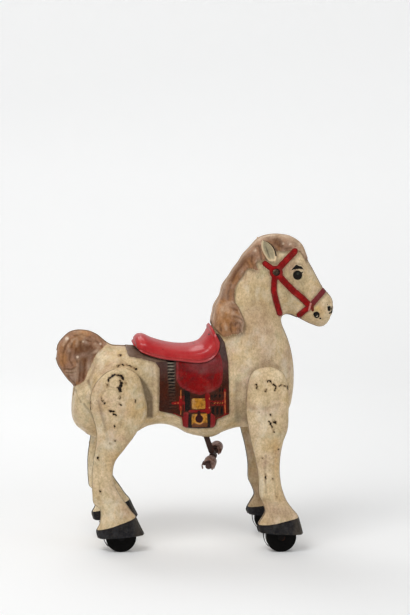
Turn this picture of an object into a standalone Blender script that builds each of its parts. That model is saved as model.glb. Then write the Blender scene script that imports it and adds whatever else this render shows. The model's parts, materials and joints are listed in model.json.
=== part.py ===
"""Pedal horse: a walking ride-on toy of pressed steel, built as its separate pieces.

The horse faces +X, its left side is +Y and it stands on Z = 0. The seam between
the two body halves lies in the plane Y = 0. The rider pushes the footrests
forward: the pedal lever swings the fore legs forward through the front link and
the hind legs back through the crossed rear link. Springs bring them back.
"""
import math

import bmesh
import bpy
from mathutils import Matrix, Vector
from mathutils.bvhtree import BVHTree

MM = 0.001
RIGHT = -1
LEFT = 1

# Sheet metal and fits
SHEET = 1.2 * MM
SEAM_GAP = 0.3 * MM
SEAM_FLANGE = 2.0 * MM
REST_GAP = 0.3 * MM
RUN_GAP = 0.6 * MM

# Pivots of the walking gear, seen from the side (X, Z)
SHOULDER = Vector((157, 383)) * MM
HIP = Vector((-203, 387)) * MM
PEDAL_PIVOT = Vector((8, 335)) * MM
PEDAL_BAR_CENTRE = Vector((52, 213)) * MM

# Body
BODY_HALF_WIDTH = 84 * MM
TAIL_HALF_WIDTH = 23 * MM
PAD_RADIUS = 34 * MM
PAD_BLEND = 34 * MM
BODY_SHARES = (
    0, 0.012, 0.035, 0.065, 0.1, 0.14, 0.185, 0.235, 0.29, 0.35, 0.43, 0.54, 0.66, 0.78, 0.89, 0.97, 1,
)

# Legs and rollers
LEG_FLANGE = 1.2 * MM
LEG_PLAY = 0.5 * MM
LEG_RING = 6
LEG_TOP_INNER = 5.5 * MM
WHEEL_WIDTH = 22 * MM
WHEEL_SIDES = 24
TREAD_ROUND = 2.5 * MM
WHEEL_SHARE = 0.3458
FORE_WHEEL_X = 211 * MM
HIND_WHEEL_X = -176 * MM
AXLE_RADIUS = 4 * MM
BRACKET_SHEET = 2 * MM
BRACKET_SHARE = 0.3
EAR_PLAY = 1.2 * MM
EAR_RADIUS = 9 * MM

# Shafts, hubs and bushes
SHAFT_RADIUS = 6 * MM
BUSH_RADIUS = 10 * MM
BUSH_FLANGE_RADIUS = 16 * MM
BUSH_FLANGE = 2 * MM
HUB_RADIUS = 10 * MM
HUB_FLANGE_RADIUS = 17 * MM
HUB_FLANGE = 2.5 * MM
HUB_LENGTH = 14 * MM
SHAFT_HEAD = 2.5 * MM
BUSH_LENGTH = 10 * MM

# Walking gear
RAIL_INNER_Y = 22 * MM
RAIL_THICK = 3 * MM
RAIL_BOSS = 14 * MM
PLATE_THICK = 4 * MM
LEVER_THICK = 6 * MM
LEVER_WIDTH = 13 * MM
LINK_EYE_RADIUS = 8 * MM
FRONT_ARM = 40 * MM
SWING = math.radians(12)
CRANK_HUB_RADIUS = 11.5 * MM
CRANK_HUB_LENGTH = 18 * MM
RIVET_RADIUS = 4 * MM
RIVET_HEAD_RADIUS = 6.5 * MM
RIVET_HEAD = 2 * MM
PEDAL_SHAFT_RADIUS = 5 * MM
LEVER_HUB_RADIUS = 10 * MM
LEVER_HUB_LENGTH = 22 * MM
HUB_WELD = 2.2 * MM
SOCKET_RADIUS = 9.5 * MM
SOCKET_LENGTH = 22 * MM
SPRING_BOLT_RADIUS = 4 * MM
FRONT_BOLT = PEDAL_PIVOT.lerp(SHOULDER, 0.45)
REAR_BOLT = PEDAL_PIVOT.lerp(HIP, 0.23)
SPRING_WIRE_RADIUS = 1.3 * MM
SPRING_COIL_RADIUS = 6 * MM
SPRING_TURNS = 6
SPRING_COIL_LENGTH = 62 * MM
SPRING_PLANE = 12 * MM
EYE_STEPS = 6
COIL_STEPS = 8

# Pedals
BAR_RADIUS = 5 * MM
BAR_LENGTH = 204 * MM
BAR_HEAD = 2.5 * MM
BAR_YAW = math.radians(13)
BAR_DROP = math.radians(2.3)
FOOTREST_LENGTH = 46 * MM
FOOTREST_ARCH = 17 * MM
FOOTREST_SHEET = 2 * MM

# Saddle, ears and trim
SEAT_SHEET = 1.2 * MM
SEAT_SEGMENTS = 12
SEAT_POWER = 2.7
SEAT_REACH = 7 * MM
SEAT_PLAY = 1.2 * MM
STUD_RADIUS = 3 * MM
STUD_LENGTH = 38 * MM
EAR_REST = 2.4 * MM
ROSETTE = Vector((185, 671)) * MM
ROSETTE_RADIUS = 8 * MM
ROSETTE_HEIGHT = 4 * MM
EYELET = Vector((288, 570)) * MM
EYELET_RADIUS = 5.5 * MM
EYELET_HEIGHT = 2 * MM
EYELET_BORE = 2.6 * MM

# Body stations, nose to tail order reversed: the tail's tip comes first.
# Each is (top X, top Z, bottom X, bottom Z, half width, roundness), lengths in mm.
BODY_STATIONS = (
    (-333, 470, -334.4, 452, 0, 2.2),
    (-330, 484, -330, 438, 14, 2.2),
    (-319, 500, -320, 421, 20, 2.2),
    (-303, 514, -306, 402, 30, 2.3),
    (-286, 519, -290, 383, 44, 2.3),
    (-271, 519, -292, 357, 58, 2.3),
    (-258, 517, -295, 330, 68, 2.3),
    (-247, 513, -293, 307, 75, 2.4),
    (-236, 507, -285, 291, 79, 2.4),
    (-225, 498, -271, 279, 81, 2.5),
    (-213, 489, -250, 265, 82, 2.6),
    (-201, 484, -225, 255, 82, 2.6),
    (-185, 483, -200, 253, 82, 2.7),
    (-165, 482, -172, 259, 82, 2.8),
    (-140, 480, -143, 272, 82, 2.9),
    (-110, 476, -113, 289, 82, 2.9),
    (-75, 473, -77, 295, 83, 2.9),
    (-40, 472, -42, 287, 84, 2.9),
    (-8, 474, -12, 272, 84, 2.9),
    (18, 480, 20, 265, 84, 2.9),
    (34, 490, 47, 265, 83, 2.8),
    (41, 504, 74, 277, 82, 2.7),
    (41, 520, 102, 286, 82, 2.6),
    (40, 534, 133, 289, 82, 2.5),
    (40, 545, 166, 292, 81, 2.5),
    (41, 556, 198, 299, 80, 2.5),
    (43, 568, 222, 315, 79, 2.4),
    (45, 581, 236, 340, 77, 2.4),
    (51, 595, 242, 374, 73, 2.4),
    (57, 608, 243, 413, 67, 2.3),
    (62, 624, 239, 453, 61, 2.3),
    (67, 640, 231, 487, 55, 2.3),
    (77, 656, 220, 516, 49, 2.3),
    (88, 672, 210, 538, 44, 2.3),
    (107, 703, 207, 553, 40, 2.4),
    (129, 731, 211, 563, 38, 2.4),
    (149, 751, 220, 567, 37, 2.5),
    (174, 759, 229, 566, 37, 2.5),
    (201, 760, 238, 563, 37, 2.5),
    (227, 755, 246, 560, 37, 2.5),
    (249, 740, 254, 557, 36, 2.5),
    (260, 718, 263, 553, 34, 2.5),
    (268, 697, 271, 549, 32, 2.5),
    (280, 677, 280, 545, 30, 2.4),
    (292, 656, 289, 542, 28, 2.4),
    (304, 636, 297, 539, 27, 2.4),
    (318, 620, 306, 538, 27, 2.4),
    (330, 605, 315, 541, 25, 2.4),
    (334, 588, 323, 549, 18, 2.3),
    (334, 577, 328, 558, 0, 2.2),
)
WIDEST = max(station[4] for station in BODY_STATIONS)
BELLY_ROUNDNESS = 2.3

# Where the tail ends and the rump begins: (Z, X) pairs in mm
TAIL_EDGE = (
    (340, -420), (375, -335), (386, -292), (401, -264), (418, -254),
    (437, -248), (457, -241), (471, -234), (484, -227), (497, -219), (530, -200),
)
RUMP_RISE = 62 * MM

# Shapes that the sheet is raised into: (height, (X, Z) points of the outline), in mm
MANE = (3.2, (
    (150, 752), (142, 698), (132, 677), (113, 672), (88, 628), (88, 605), (105, 570),
    (115, 542), (108, 524), (87, 518), (64, 519), (53, 536), (46, 549), (30, 560), (45, 600),
    (70, 670), (110, 735), (150, 768),
))
FORELOCK = (3.0, ((181, 728), (203, 722), (231, 725), (251, 712), (262, 720), (262, 768), (176, 768)))
SADDLE_CLOTH = (1.6, (
    (65, 444), (70, 430), (76, 335), (47, 321), (40, 301), (-27, 300), (-37, 325),
    (-92, 340), (-93, 444),
))
SADDLE_FLAP = (2.2, (
    (-53, 444), (-51, 432), (-41, 408), (-13, 383), (23, 385), (41, 396), (55, 414), (58, 444),
))
RAISED_SHAPES = (MANE, FORELOCK, SADDLE_CLOTH, SADDLE_FLAP)
RAISED_SLOPE = 6 * MM

# Locks of the mane and of the tail: (X, Z, reach, height) in mm
LOCKS = (
    (216, 741, 21, 3.2), (118, 706, 20, 3.2), (93, 670, 22, 3.2), (73, 625, 21, 3.2),
    (60, 578, 20, 3.2), (98, 549, 19, 3.2), (66, 535, 17, 3.0),
    (-276, 490, 20, 2.6), (-248, 468, 18, 2.6), (-296, 440, 20, 2.6), (-309, 474, 16, 2.6),
)

# Leg stations, top to hoof: (front X, front Z, rear X, rear Z, outer depth, inner depth)
FORE_LEG_STATIONS = (
    (172, 450, 146, 447, 0, 0),
    (187, 445, 131, 439, 12, 4.6),
    (202, 434, 122, 422, 18, 5.5),
    (212, 414, 118, 402, 21, 5.5),
    (217, 386, 117, 374, 22, 5.5),
    (218, 342, 118, 336, 22, 6),
    (217, 300, 124, 303, 21, 9),
    (208, 270, 133, 263, 20, 14),
    (202, 236, 144, 224, 19, 16),
    (202, 190, 153, 178, 17, 16),
    (210, 150, 156, 136, 17, 16),
    (221, 124, 165, 118, 18, 17),
    (236, 104, 171, 98, 20, 19),
    (251, 85, 156, 68, 22, 21),
    (257, 68, 153, 59, 22.5, 21.5),
    (264, 44, 157, 48, 24, 23),
)
HIND_LEG_STATIONS = (
    (-173, 443, -200, 441, 0, 0),
    (-157, 436, -219, 432, 12, 4.6),
    (-143, 422, -236, 416, 18, 5.5),
    (-136, 404, -247, 400, 21, 5.5),
    (-130, 382, -254, 381, 22, 5.5),
    (-122, 346, -255, 347, 22, 6),
    (-126, 319, -247, 320, 22, 8),
    (-139, 300, -241, 300, 21, 11),
    (-157, 272, -238, 274, 20, 14),
    (-176, 246, -241, 248, 19, 16),
    (-194, 221, -244, 224, 18, 16),
    (-200, 196, -247, 196, 18, 16),
    (-196, 166, -247, 164, 18, 17),
    (-183, 139, -245, 137, 18, 17),
    (-168, 118, -242, 118, 18, 17),
    (-154, 98, -226, 101, 20, 19),
    (-142, 84, -227, 66, 22, 21),
    (-134, 68, -234, 51, 22.5, 21.5),
    (-121, 43, -230, 33, 24, 23),
)
LEG_ROUNDNESS = 2.6
INNER_ROUNDNESS = 4.0

# The rollers are sized to the length of the fore hoof
HOOF_LENGTH = (FORE_LEG_STATIONS[-1][0] - FORE_LEG_STATIONS[-1][2]) * MM
WHEEL_RADIUS = WHEEL_SHARE * HOOF_LENGTH
WHEEL_CENTRE_Z = WHEEL_RADIUS * math.cos(math.pi / WHEEL_SIDES)

# Saddle stations, cantle to pommel: (top X, top Z, side X, side Z) in mm
SEAT_STATIONS = (
    (-153, 491, -150, 486),
    (-147, 504, -139, 478),
    (-131, 512, -120, 470),
    (-104, 502, -98, 464),
    (-80, 495, -75, 460),
    (-60, 491, -54, 458),
    (-38, 489, -34, 456),
    (-16, 490, -12, 454),
    (2, 494, 7, 454),
    (14, 500, 22, 457),
    (22, 509, 33, 463),
    (27, 520, 41, 473),
    (30, 531, 46, 486),
    (34, 539, 49, 502),
)
SEAT_STUDS = (("rear", -98 * MM), ("front", -18 * MM))

PAINTS = {
    "cream_paint": ((0.62, 0.53, 0.38), 0.55, 0.0),
    "red_enamel": ((0.42, 0.02, 0.02), 0.25, 0.0),
    "black_rubber": ((0.012, 0.012, 0.013), 0.6, 0.0),
    "rusty_steel": ((0.12, 0.075, 0.055), 0.7, 0.6),
    "plain_steel": ((0.38, 0.37, 0.36), 0.45, 0.9),
    "spring_steel": ((0.22, 0.22, 0.23), 0.4, 0.9),
    "dark_bronze": ((0.08, 0.055, 0.04), 0.45, 0.8),
}


for old in list(bpy.data.objects):
    bpy.data.objects.remove(old, do_unlink=True)

horse = bpy.data.collections.new("pedal_horse")
bpy.context.scene.collection.children.link(horse)
cutters = bpy.data.collections.new("cutters")
bpy.context.scene.collection.children.link(cutters)


def paint(name):
    """Returns the named finish, made on its first use."""
    material = bpy.data.materials.get(name)
    if material is None:
        colour, roughness, metallic = PAINTS[name]
        material = bpy.data.materials.new(name)
        material.use_nodes = True
        shader = material.node_tree.nodes["Principled BSDF"]
        shader.inputs["Base Color"].default_value = (*colour, 1)
        shader.inputs["Roughness"].default_value = roughness
        shader.inputs["Metallic"].default_value = metallic
    return material


def add_piece(name, mesh, finish, home=None, smooth=35):
    """Puts a mesh in the horse as a named piece."""
    piece = bpy.data.objects.new(name, mesh)
    (home or horse).objects.link(piece)
    if finish:
        mesh.materials.append(paint(finish))
    if smooth:
        mesh.shade_smooth()
        mesh.set_sharp_from_angle(angle=math.radians(smooth))
    return piece


def add_pivot(name, place):
    """Adds the empty that stands on a joint's axis."""
    pivot = bpy.data.objects.new(name, None)
    pivot.location = place
    horse.objects.link(pivot)
    return pivot


def hang_on(pivot, *pieces):
    """Parents pieces to a pivot, each staying where it is."""
    for piece in pieces:
        piece.parent = pivot
        piece.matrix_parent_inverse = Matrix.Translation(pivot.location).inverted()


def side_point(flat, y):
    """Turns a point of the side view into a point in space."""
    return Vector((flat.x, y, flat.y))


def side_name(side):
    return "right" if side == RIGHT else "left"


def cut(piece, cutter):
    """Cuts a hidden cutter out of a piece."""
    boolean = piece.modifiers.new("cut_" + cutter.name, "BOOLEAN")
    boolean.operation = "DIFFERENCE"
    boolean.solver = "EXACT"
    boolean.object = cutter
    cutter.hide_render = True
    cutter.display_type = "WIRE"


def join(piece, other):
    """Joins another closed shape to a piece as one body."""
    boolean = piece.modifiers.new("join_" + other.name, "BOOLEAN")
    boolean.operation = "UNION"
    boolean.solver = "EXACT"
    boolean.object = other
    other.hide_render = True
    other.display_type = "WIRE"


def turned(name, profile, finish, place, direction=(0, 1, 0), bored=False, steps=12,
           start=0.0, home=None):
    """Turns a profile of (radius, height) points, outer side top to bottom.

    The turning axis points along direction. A bored profile is a closed loop;
    the others start and end on the axis.
    """
    mesh = bpy.data.meshes.new(name)
    points = [(r * math.cos(start), r * math.sin(start), h) for r, h in profile]
    edges = [(i, i + 1) for i in range(len(points) - 1)]
    if bored:
        edges.append((len(points) - 1, 0))
    mesh.from_pydata(points, edges, [])
    piece = add_piece(name, mesh, finish, home, smooth=0)
    screw = piece.modifiers.new("turn", "SCREW")
    screw.steps = steps
    screw.render_steps = steps
    screw.use_merge_vertices = True
    screw.merge_threshold = 0.00001
    screw.use_smooth_shade = True
    piece.rotation_mode = "QUATERNION"
    piece.rotation_quaternion = Vector((0, 0, 1)).rotation_difference(Vector(direction))
    piece.location = place
    return piece


def rod_profile(radius, low, high):
    return [(0, high), (radius, high), (radius, low), (0, low)]


def ring_profile(outer, inner, low, high):
    return [(outer, high), (outer, low), (inner, low), (inner, high)]


def headed_profile(radius, reach, head):
    """Gives a pin's profile, with a head at each end of a stretch of twice the reach."""
    wide = radius + head
    upper = [(0, reach + head), (wide, reach + head), (wide, reach), (radius, reach)]
    return upper + [(r, -h) for r, h in reversed(upper)]


def circle(centre, radius, steps=10):
    """Gives a ring of points in the side view."""
    angles = [math.tau * step / steps for step in range(steps)]
    return [centre + radius * Vector((math.cos(a), math.sin(a))) for a in angles]


def plate(name, outline, thick, finish, centre_y, home=None, holes=()):
    """Makes a flat plate in the side view from a loop of (X, Z) points.

    A hole is given by its centre and radius.
    """
    curve = bpy.data.curves.new(name, "CURVE")
    curve.dimensions = "2D"
    curve.fill_mode = "BOTH"
    curve.extrude = thick / 2
    for loop in [outline] + [circle(centre, radius) for centre, radius in holes]:
        spline = curve.splines.new("POLY")
        spline.points.add(len(loop) - 1)
        for point, (x, z) in zip(spline.points, loop):
            point.co = (x, z, 0, 1)
        spline.use_cyclic_u = True
    maker = bpy.data.objects.new(name + "_outline", curve)
    horse.objects.link(maker)
    maker.rotation_euler = (math.pi / 2, 0, 0)
    maker.location = (0, centre_y, 0)
    return made_mesh(name, maker, finish, home)


def made_mesh(name, maker, finish, home=None, smooth=35):
    """Turns a curve object into a welded mesh piece and removes the curve."""
    bpy.context.view_layer.update()
    graph = bpy.context.evaluated_depsgraph_get()
    mesh = bpy.data.meshes.new_from_object(maker.evaluated_get(graph))
    place = maker.matrix_world.copy()
    bpy.data.objects.remove(maker, do_unlink=True)
    mesh.transform(place)
    shape = bmesh.new()
    shape.from_mesh(mesh)
    bmesh.ops.remove_doubles(shape, verts=shape.verts, dist=0.000001)
    bmesh.ops.recalc_face_normals(shape, faces=shape.faces)
    shape.to_mesh(mesh)
    shape.free()
    mesh.name = name
    mesh.materials.clear()
    return add_piece(name, mesh, finish, home, smooth)


def wire(name, points, radius, finish, detail=0):
    """Makes a round wire along points."""
    curve = bpy.data.curves.new(name, "CURVE")
    curve.dimensions = "3D"
    curve.bevel_depth = radius
    curve.bevel_resolution = detail
    curve.use_fill_caps = True
    spline = curve.splines.new("POLY")
    spline.points.add(len(points) - 1)
    for point, place in zip(spline.points, points):
        point.co = (*place, 1)
    maker = bpy.data.objects.new(name + "_path", curve)
    horse.objects.link(maker)
    return made_mesh(name, maker, finish, smooth=60)


def rounded_bar(start, end, radius, steps=6):
    """Gives the outline of a bar with round ends, from start to end in the side view."""
    along = (end - start).normalized()
    turn = math.atan2(along.y, along.x)
    outline = []
    for centre, opening in ((end, turn - math.pi / 2), (start, turn + math.pi / 2)):
        for step in range(steps + 1):
            angle = opening + math.pi * step / steps
            outline.append(centre + radius * Vector((math.cos(angle), math.sin(angle))))
    return outline


def rounded_path(stops, radius, steps=6):
    """Gives the outline of a bent bar with round ends that runs through stops."""
    outline = []
    for order in (1, -1):
        run = stops[::order]
        for number in range(1, len(run) - 1):
            before = (run[number] - run[number - 1]).normalized()
            after = (run[number + 1] - run[number]).normalized()
            middle = (before + after).normalized()
            reach = radius / middle.dot(before)
            outline.append(run[number] + reach * Vector((middle.y, -middle.x)))
        along = run[-1] - run[-2]
        opening = math.atan2(along.y, along.x) - math.pi / 2
        for step in range(steps + 1):
            angle = opening + math.pi * step / steps
            outline.append(run[-1] + radius * Vector((math.cos(angle), math.sin(angle))))
    return outline


def drill(piece, place, radius, reach, direction=(0, 1, 0), steps=12):
    """Drills a hole through a piece, along direction."""
    name = piece.name + "_drill_%d" % len(piece.modifiers)
    drill_bit = turned(name, rod_profile(radius, -reach, reach), None, place, direction,
                       steps=steps, home=cutters)
    cut(piece, drill_bit)


def roundness_edge(share, top_power, low_power):
    """Gives how far a section stands out at a share of its height, from 0 to 1."""
    power = top_power + (low_power - top_power) * share
    away = abs(2 * share - 1)
    return (1 - min(away, 1) ** power) ** (1 / power)


def ring_share(step, ring):
    return 0.5 - 0.5 * math.cos(math.pi * step / ring)


def tail_edge_x(z):
    """Gives the X at which the tail meets the rump at a height."""
    previous = TAIL_EDGE[0]
    for pair in TAIL_EDGE[1:]:
        if z <= pair[0] * MM:
            share = (z - previous[0] * MM) / ((pair[0] - previous[0]) * MM)
            share = max(0, share)
            return (previous[1] + (pair[1] - previous[1]) * share) * MM
        previous = pair
    return previous[1] * MM


def pad_share(x, z, centre):
    """Is 1 on the flat pad round a pivot and falls smoothly to 0 round it."""
    away = (Vector((x, z)) - centre).length
    share = min(max((PAD_RADIUS + PAD_BLEND - away) / PAD_BLEND, 0), 1)
    return share * share * (3 - 2 * share)


def inside_distance(place, outline):
    """Gives how far a place lies inside an outline, or 0 outside it."""
    inside = False
    nearest = math.inf
    for number, pair in enumerate(outline):
        start, end = Vector(outline[number - 1]) * MM, Vector(pair) * MM
        step = end - start
        share = min(max((place - start).dot(step) / step.length_squared, 0), 1)
        nearest = min(nearest, (place - start.lerp(end, share)).length)
        if (start.y > place.y) != (end.y > place.y):
            crossing = start.x + (place.y - start.y) / (end.y - start.y) * (end.x - start.x)
            inside ^= place.x < crossing
    return nearest if inside else 0


def raised_height(x, z):
    """Gives how far the hair and the saddle cloth stand above the plain sheet."""
    place = Vector((x, z))
    height = 0
    for rise, outline in RAISED_SHAPES:
        share = min(inside_distance(place, outline) / RAISED_SLOPE, 1)
        height += rise * MM * share * share * (3 - 2 * share)
    for lock_x, lock_z, reach, rise in LOCKS:
        away = (place - Vector((lock_x, lock_z)) * MM).length / (reach * MM)
        share = max(1 - away, 0)
        height += rise * MM * share * share * (3 - 2 * share)
    return height


def body_depth(x, z, share, width, roundness):
    """Gives how far a body half stands out from the seam at a point."""
    edge = roundness_edge(share, roundness, min(roundness, BELLY_ROUNDNESS))
    rise = min(max((x - tail_edge_x(z)) / RUMP_RISE, 0), 1)
    rise = math.sqrt(1 - (1 - rise) ** 2)
    tail = min(TAIL_HALF_WIDTH, width)
    depth = edge * (tail + (width - tail) * rise)
    for centre in (SHOULDER, HIP):
        pad = pad_share(x, z, centre)
        depth += (BODY_HALF_WIDTH - depth) * pad
    return depth + raised_height(x, z) * min(depth / RAISED_SLOPE, 1)


def body_rows():
    """Gives the rows of (X, Z, depth) points of a body half."""
    rows = []
    for top_x, top_z, low_x, low_z, width, roundness in BODY_STATIONS:
        row = []
        for share in BODY_SHARES:
            x = (top_x + (low_x - top_x) * share) * MM
            z = (top_z + (low_z - top_z) * share) * MM
            half = width / WIDEST * BODY_HALF_WIDTH
            depth = body_depth(x, z, share, half, roundness) if width else 0
            row.append((x, z, depth))
        rows.append(row)
    return rows


def leg_rows(stations, outer):
    """Gives the rows of (X, Z, depth) points of a leg half."""
    power = LEG_ROUNDNESS if outer else INNER_ROUNDNESS
    rows = []
    for front_x, front_z, rear_x, rear_z, outer_depth, inner_depth in stations:
        reach = (outer_depth if outer else inner_depth) * MM
        row = []
        for step in range(LEG_RING + 1):
            share = ring_share(step, LEG_RING)
            x = (front_x + (rear_x - front_x) * share) * MM
            z = (front_z + (rear_z - front_z) * share) * MM
            row.append((x, z, reach * roundness_edge(share, power, power)))
        rows.append(row)
    return rows


def flange_point(point, before, after, inner, flange):
    """Moves an outline point outward by the flange's width, in the seam plane."""
    along = Vector((after[0] - before[0], after[1] - before[1])).normalized()
    out = Vector((along.y, -along.x))
    if out.dot(Vector((point[0] - inner[0], point[1] - inner[1]))) < 0:
        out = -out
    return (point[0] + out.x * flange, point[1] + out.y * flange, 0)


def with_flange(rows, flange, closed_end):
    """Adds the flat strip along which the two halves meet."""
    last = len(rows) - 1
    wide = []
    for number, row in enumerate(rows):
        before = rows[max(number - 1, 0)]
        after = rows[min(number + 1, last)]
        first_point = flange_point(row[0], before[0], after[0], row[-1], flange)
        last_point = flange_point(row[-1], before[-1], after[-1], row[0], flange)
        wide.append([first_point] + row + [last_point])
    wide.insert(0, end_strip(wide[0], rows[1], flange))
    if closed_end:
        wide.append(end_strip(wide[-1], rows[-2], flange))
    return wide


def end_strip(row, inner, flange):
    """Moves an end row outward by the flange's width."""
    middle, inside = row[len(row) // 2], inner[len(inner) // 2]
    out = Vector((middle[0] - inside[0], middle[1] - inside[1])).normalized() * flange
    return [(x + out.x, z + out.y, 0) for x, z, depth in row]


def row_faces(rows, outward):
    """Gives the four-sided faces between rows of points."""
    wide = len(rows[0])
    faces = []
    for number in range(len(rows) - 1):
        for step in range(wide - 1):
            corner = number * wide + step
            face = (corner, corner + wide, corner + wide + 1, corner + 1)
            faces.append(face if outward == LEFT else face[::-1])
    return faces


def pressed_half(name, rows, flange, seam_y, outward, finish, closed_end=True):
    """Makes one pressed half: an open surface with a seam flange, given its sheet."""
    wide = with_flange(rows, flange, closed_end)
    lift = SEAM_GAP / 2 + SHEET
    points = [(x, seam_y + outward * (lift + depth), z) for row in wide for x, z, depth in row]
    mesh = bpy.data.meshes.new(name)
    mesh.from_pydata(points, [], row_faces(wide, outward))
    piece = add_piece(name, mesh, finish, smooth=40)
    solid = piece.modifiers.new("sheet", "SOLIDIFY")
    solid.thickness = SHEET
    solid.offset = -1
    solid.use_even_offset = True
    return piece


BODY_ROWS = body_rows()
BODY_SKIN = BVHTree.FromPolygons(
    [(x, -(SEAM_GAP / 2 + SHEET + depth), z) for row in BODY_ROWS for x, z, depth in row],
    row_faces(BODY_ROWS, RIGHT),
)


def skin_point(x, z):
    """Gives the point and the normal of the body's right side at a place."""
    hit, normal, face, away = BODY_SKIN.ray_cast(Vector((x, -1, z)), Vector((0, 1, 0)))
    return hit, normal


def back_half_width(x, z):
    """Gives the body's half width at a place, or just under the back where that is higher."""
    hit = None
    while hit is None:
        hit, normal = skin_point(x, z)
        z -= 3 * MM
    return -hit.y


def mirrored(vector, side):
    """Takes a vector of the right side to the given side."""
    return Vector((vector.x, vector.y * (1 if side == RIGHT else -1), vector.z))


BODY_PAD_Y = BODY_HALF_WIDTH + SEAM_GAP / 2 + SHEET
LEG_INNER_Y = BODY_PAD_Y + REST_GAP + BUSH_FLANGE + LEG_PLAY
TRACK = 2 * (LEG_INNER_Y + LEG_TOP_INNER + SEAM_GAP / 2 + SHEET)
LEVER_LINE = (PEDAL_BAR_CENTRE - PEDAL_PIVOT).normalized()
FRONT_ARM_TIP = PEDAL_PIVOT + LEVER_LINE * FRONT_ARM
SHOULDER_ARM_TIP = SHOULDER + LEVER_LINE * FRONT_ARM
REAR_ARM = (HIP.y - PEDAL_PIVOT.y) / 2
REAR_ARM_TIP = PEDAL_PIVOT + REAR_ARM * Vector((math.sin(SWING / 2), math.cos(SWING / 2)))
HIP_ARM_TIP = HIP + REAR_ARM * Vector((math.sin(SWING / 2), -math.cos(SWING / 2)))
LINK_Y = LEVER_THICK / 2 + REST_GAP + PLATE_THICK / 2
CRANK_Y = LEVER_THICK / 2 - PLATE_THICK / 2


def make_body():
    """Makes the two pressed body halves, bored for the shafts and slotted for the lever."""
    slot_reach = 8 * MM
    slot_front = 24 * MM
    belly = PEDAL_PIVOT + LEVER_LINE * (PEDAL_PIVOT.y - 264 * MM)
    halves = []
    for side in (RIGHT, LEFT):
        name = "body_shell_" + side_name(side)
        half = pressed_half(name, BODY_ROWS, SEAM_FLANGE, 0, side, "cream_paint")
        for centre in (SHOULDER, HIP):
            place = side_point(centre, side * BODY_HALF_WIDTH)
            drill(half, place, BUSH_RADIUS + REST_GAP, 12 * MM)
        halves.append(half)
    bpy.ops.mesh.primitive_cube_add(size=1)
    slot = bpy.context.active_object
    slot.name = "lever_slot"
    slot.scale = (slot_reach * 2 + slot_front, LEVER_THICK + 8 * MM, 40 * MM)
    slot.location = (belly.x + slot_front / 2, 0, 265 * MM)
    for collection in list(slot.users_collection):
        collection.objects.unlink(slot)
    cutters.objects.link(slot)
    for half in halves:
        cut(half, slot)
        for word, stud_x in SEAT_STUDS:
            drill(half, (stud_x, 0, 470 * MM), STUD_RADIUS + REST_GAP, 25 * MM, (0, 0, 1), 12)
    return halves


def make_seat():
    """Makes the saddle seat: one pressing that straddles the back."""
    rows = []
    for top_x, top_z, side_x, side_z in SEAT_STATIONS:
        half = back_half_width(side_x * MM, side_z * MM - SEAT_REACH) + SEAT_SHEET + SEAT_PLAY
        row = []
        for step in range(SEAT_SEGMENTS + 1):
            angle = math.pi * step / SEAT_SEGMENTS
            rise = abs(math.sin(angle)) ** (2 / SEAT_POWER)
            out = math.copysign(abs(math.cos(angle)) ** (2 / SEAT_POWER), math.cos(angle))
            x = (side_x + (top_x - side_x) * rise) * MM
            z = (side_z + (top_z - side_z) * rise) * MM
            row.append((x, -half * out, z))
        rows.append(row)
    mesh = bpy.data.meshes.new("saddle_seat")
    points = [point for row in rows for point in row]
    mesh.from_pydata(points, [], row_faces(rows, LEFT))
    seat = add_piece("saddle_seat", mesh, "red_enamel", smooth=50)
    solid = seat.modifiers.new("sheet", "SOLIDIFY")
    solid.thickness = SEAT_SHEET
    solid.offset = -1
    solid.use_even_offset = True
    return seat


def make_legs(front):
    """Makes one pair of legs with what is fixed in them, and returns the pieces."""
    stations = FORE_LEG_STATIONS if front else HIND_LEG_STATIONS
    name = "fore_leg_" if front else "hind_leg_"
    pivot = SHOULDER if front else HIP
    pieces = []
    for side in (RIGHT, LEFT):
        seam = side * TRACK / 2
        outer = pressed_half(name + side_name(side) + "_outer", leg_rows(stations, True),
                             LEG_FLANGE, seam, side, "cream_paint", closed_end=False)
        inner = pressed_half(name + side_name(side) + "_inner", leg_rows(stations, False),
                             LEG_FLANGE, seam, -side, "cream_paint", closed_end=False)
        place = side_point(pivot, side * LEG_INNER_Y)
        drill(inner, place, SHAFT_RADIUS + REST_GAP, 6 * MM)
        pieces += [outer, inner]
    return pieces


def make_shaft(front):
    """Makes a leg shaft, headed at both ends, with its bushes and leg hubs."""
    word = "shoulder" if front else "hip"
    leg_word = "fore" if front else "hind"
    pivot = SHOULDER if front else HIP
    hub_start = LEG_INNER_Y + SHEET + REST_GAP
    hub_end = hub_start + HUB_LENGTH + REST_GAP
    shaft = turned(word + "_shaft", headed_profile(SHAFT_RADIUS, hub_end, SHAFT_HEAD),
                   "plain_steel", side_point(pivot, 0))
    fixed, turning = [], [shaft]
    bore = SHAFT_RADIUS + REST_GAP
    for side in (RIGHT, LEFT):
        out = (0, side, 0)
        bush_start = BODY_PAD_Y + REST_GAP
        profile = [
            (BUSH_FLANGE_RADIUS, BUSH_FLANGE), (BUSH_FLANGE_RADIUS, 0), (BUSH_RADIUS, 0),
            (BUSH_RADIUS, -BUSH_LENGTH), (bore, -BUSH_LENGTH), (bore, BUSH_FLANGE),
        ]
        fixed.append(turned("%s_bush_%s" % (word, side_name(side)), profile, "dark_bronze",
                            side_point(pivot, side * bush_start), out, bored=True))
        profile = [
            (HUB_RADIUS, HUB_LENGTH), (HUB_RADIUS, HUB_FLANGE), (HUB_FLANGE_RADIUS, HUB_FLANGE),
            (HUB_FLANGE_RADIUS, 0), (bore, 0), (bore, HUB_LENGTH),
        ]
        turning.append(turned("%s_hub_%s" % (leg_word, side_name(side)), profile, "plain_steel",
                              side_point(pivot, side * hub_start), out, bored=True))
    return fixed, turning


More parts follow.
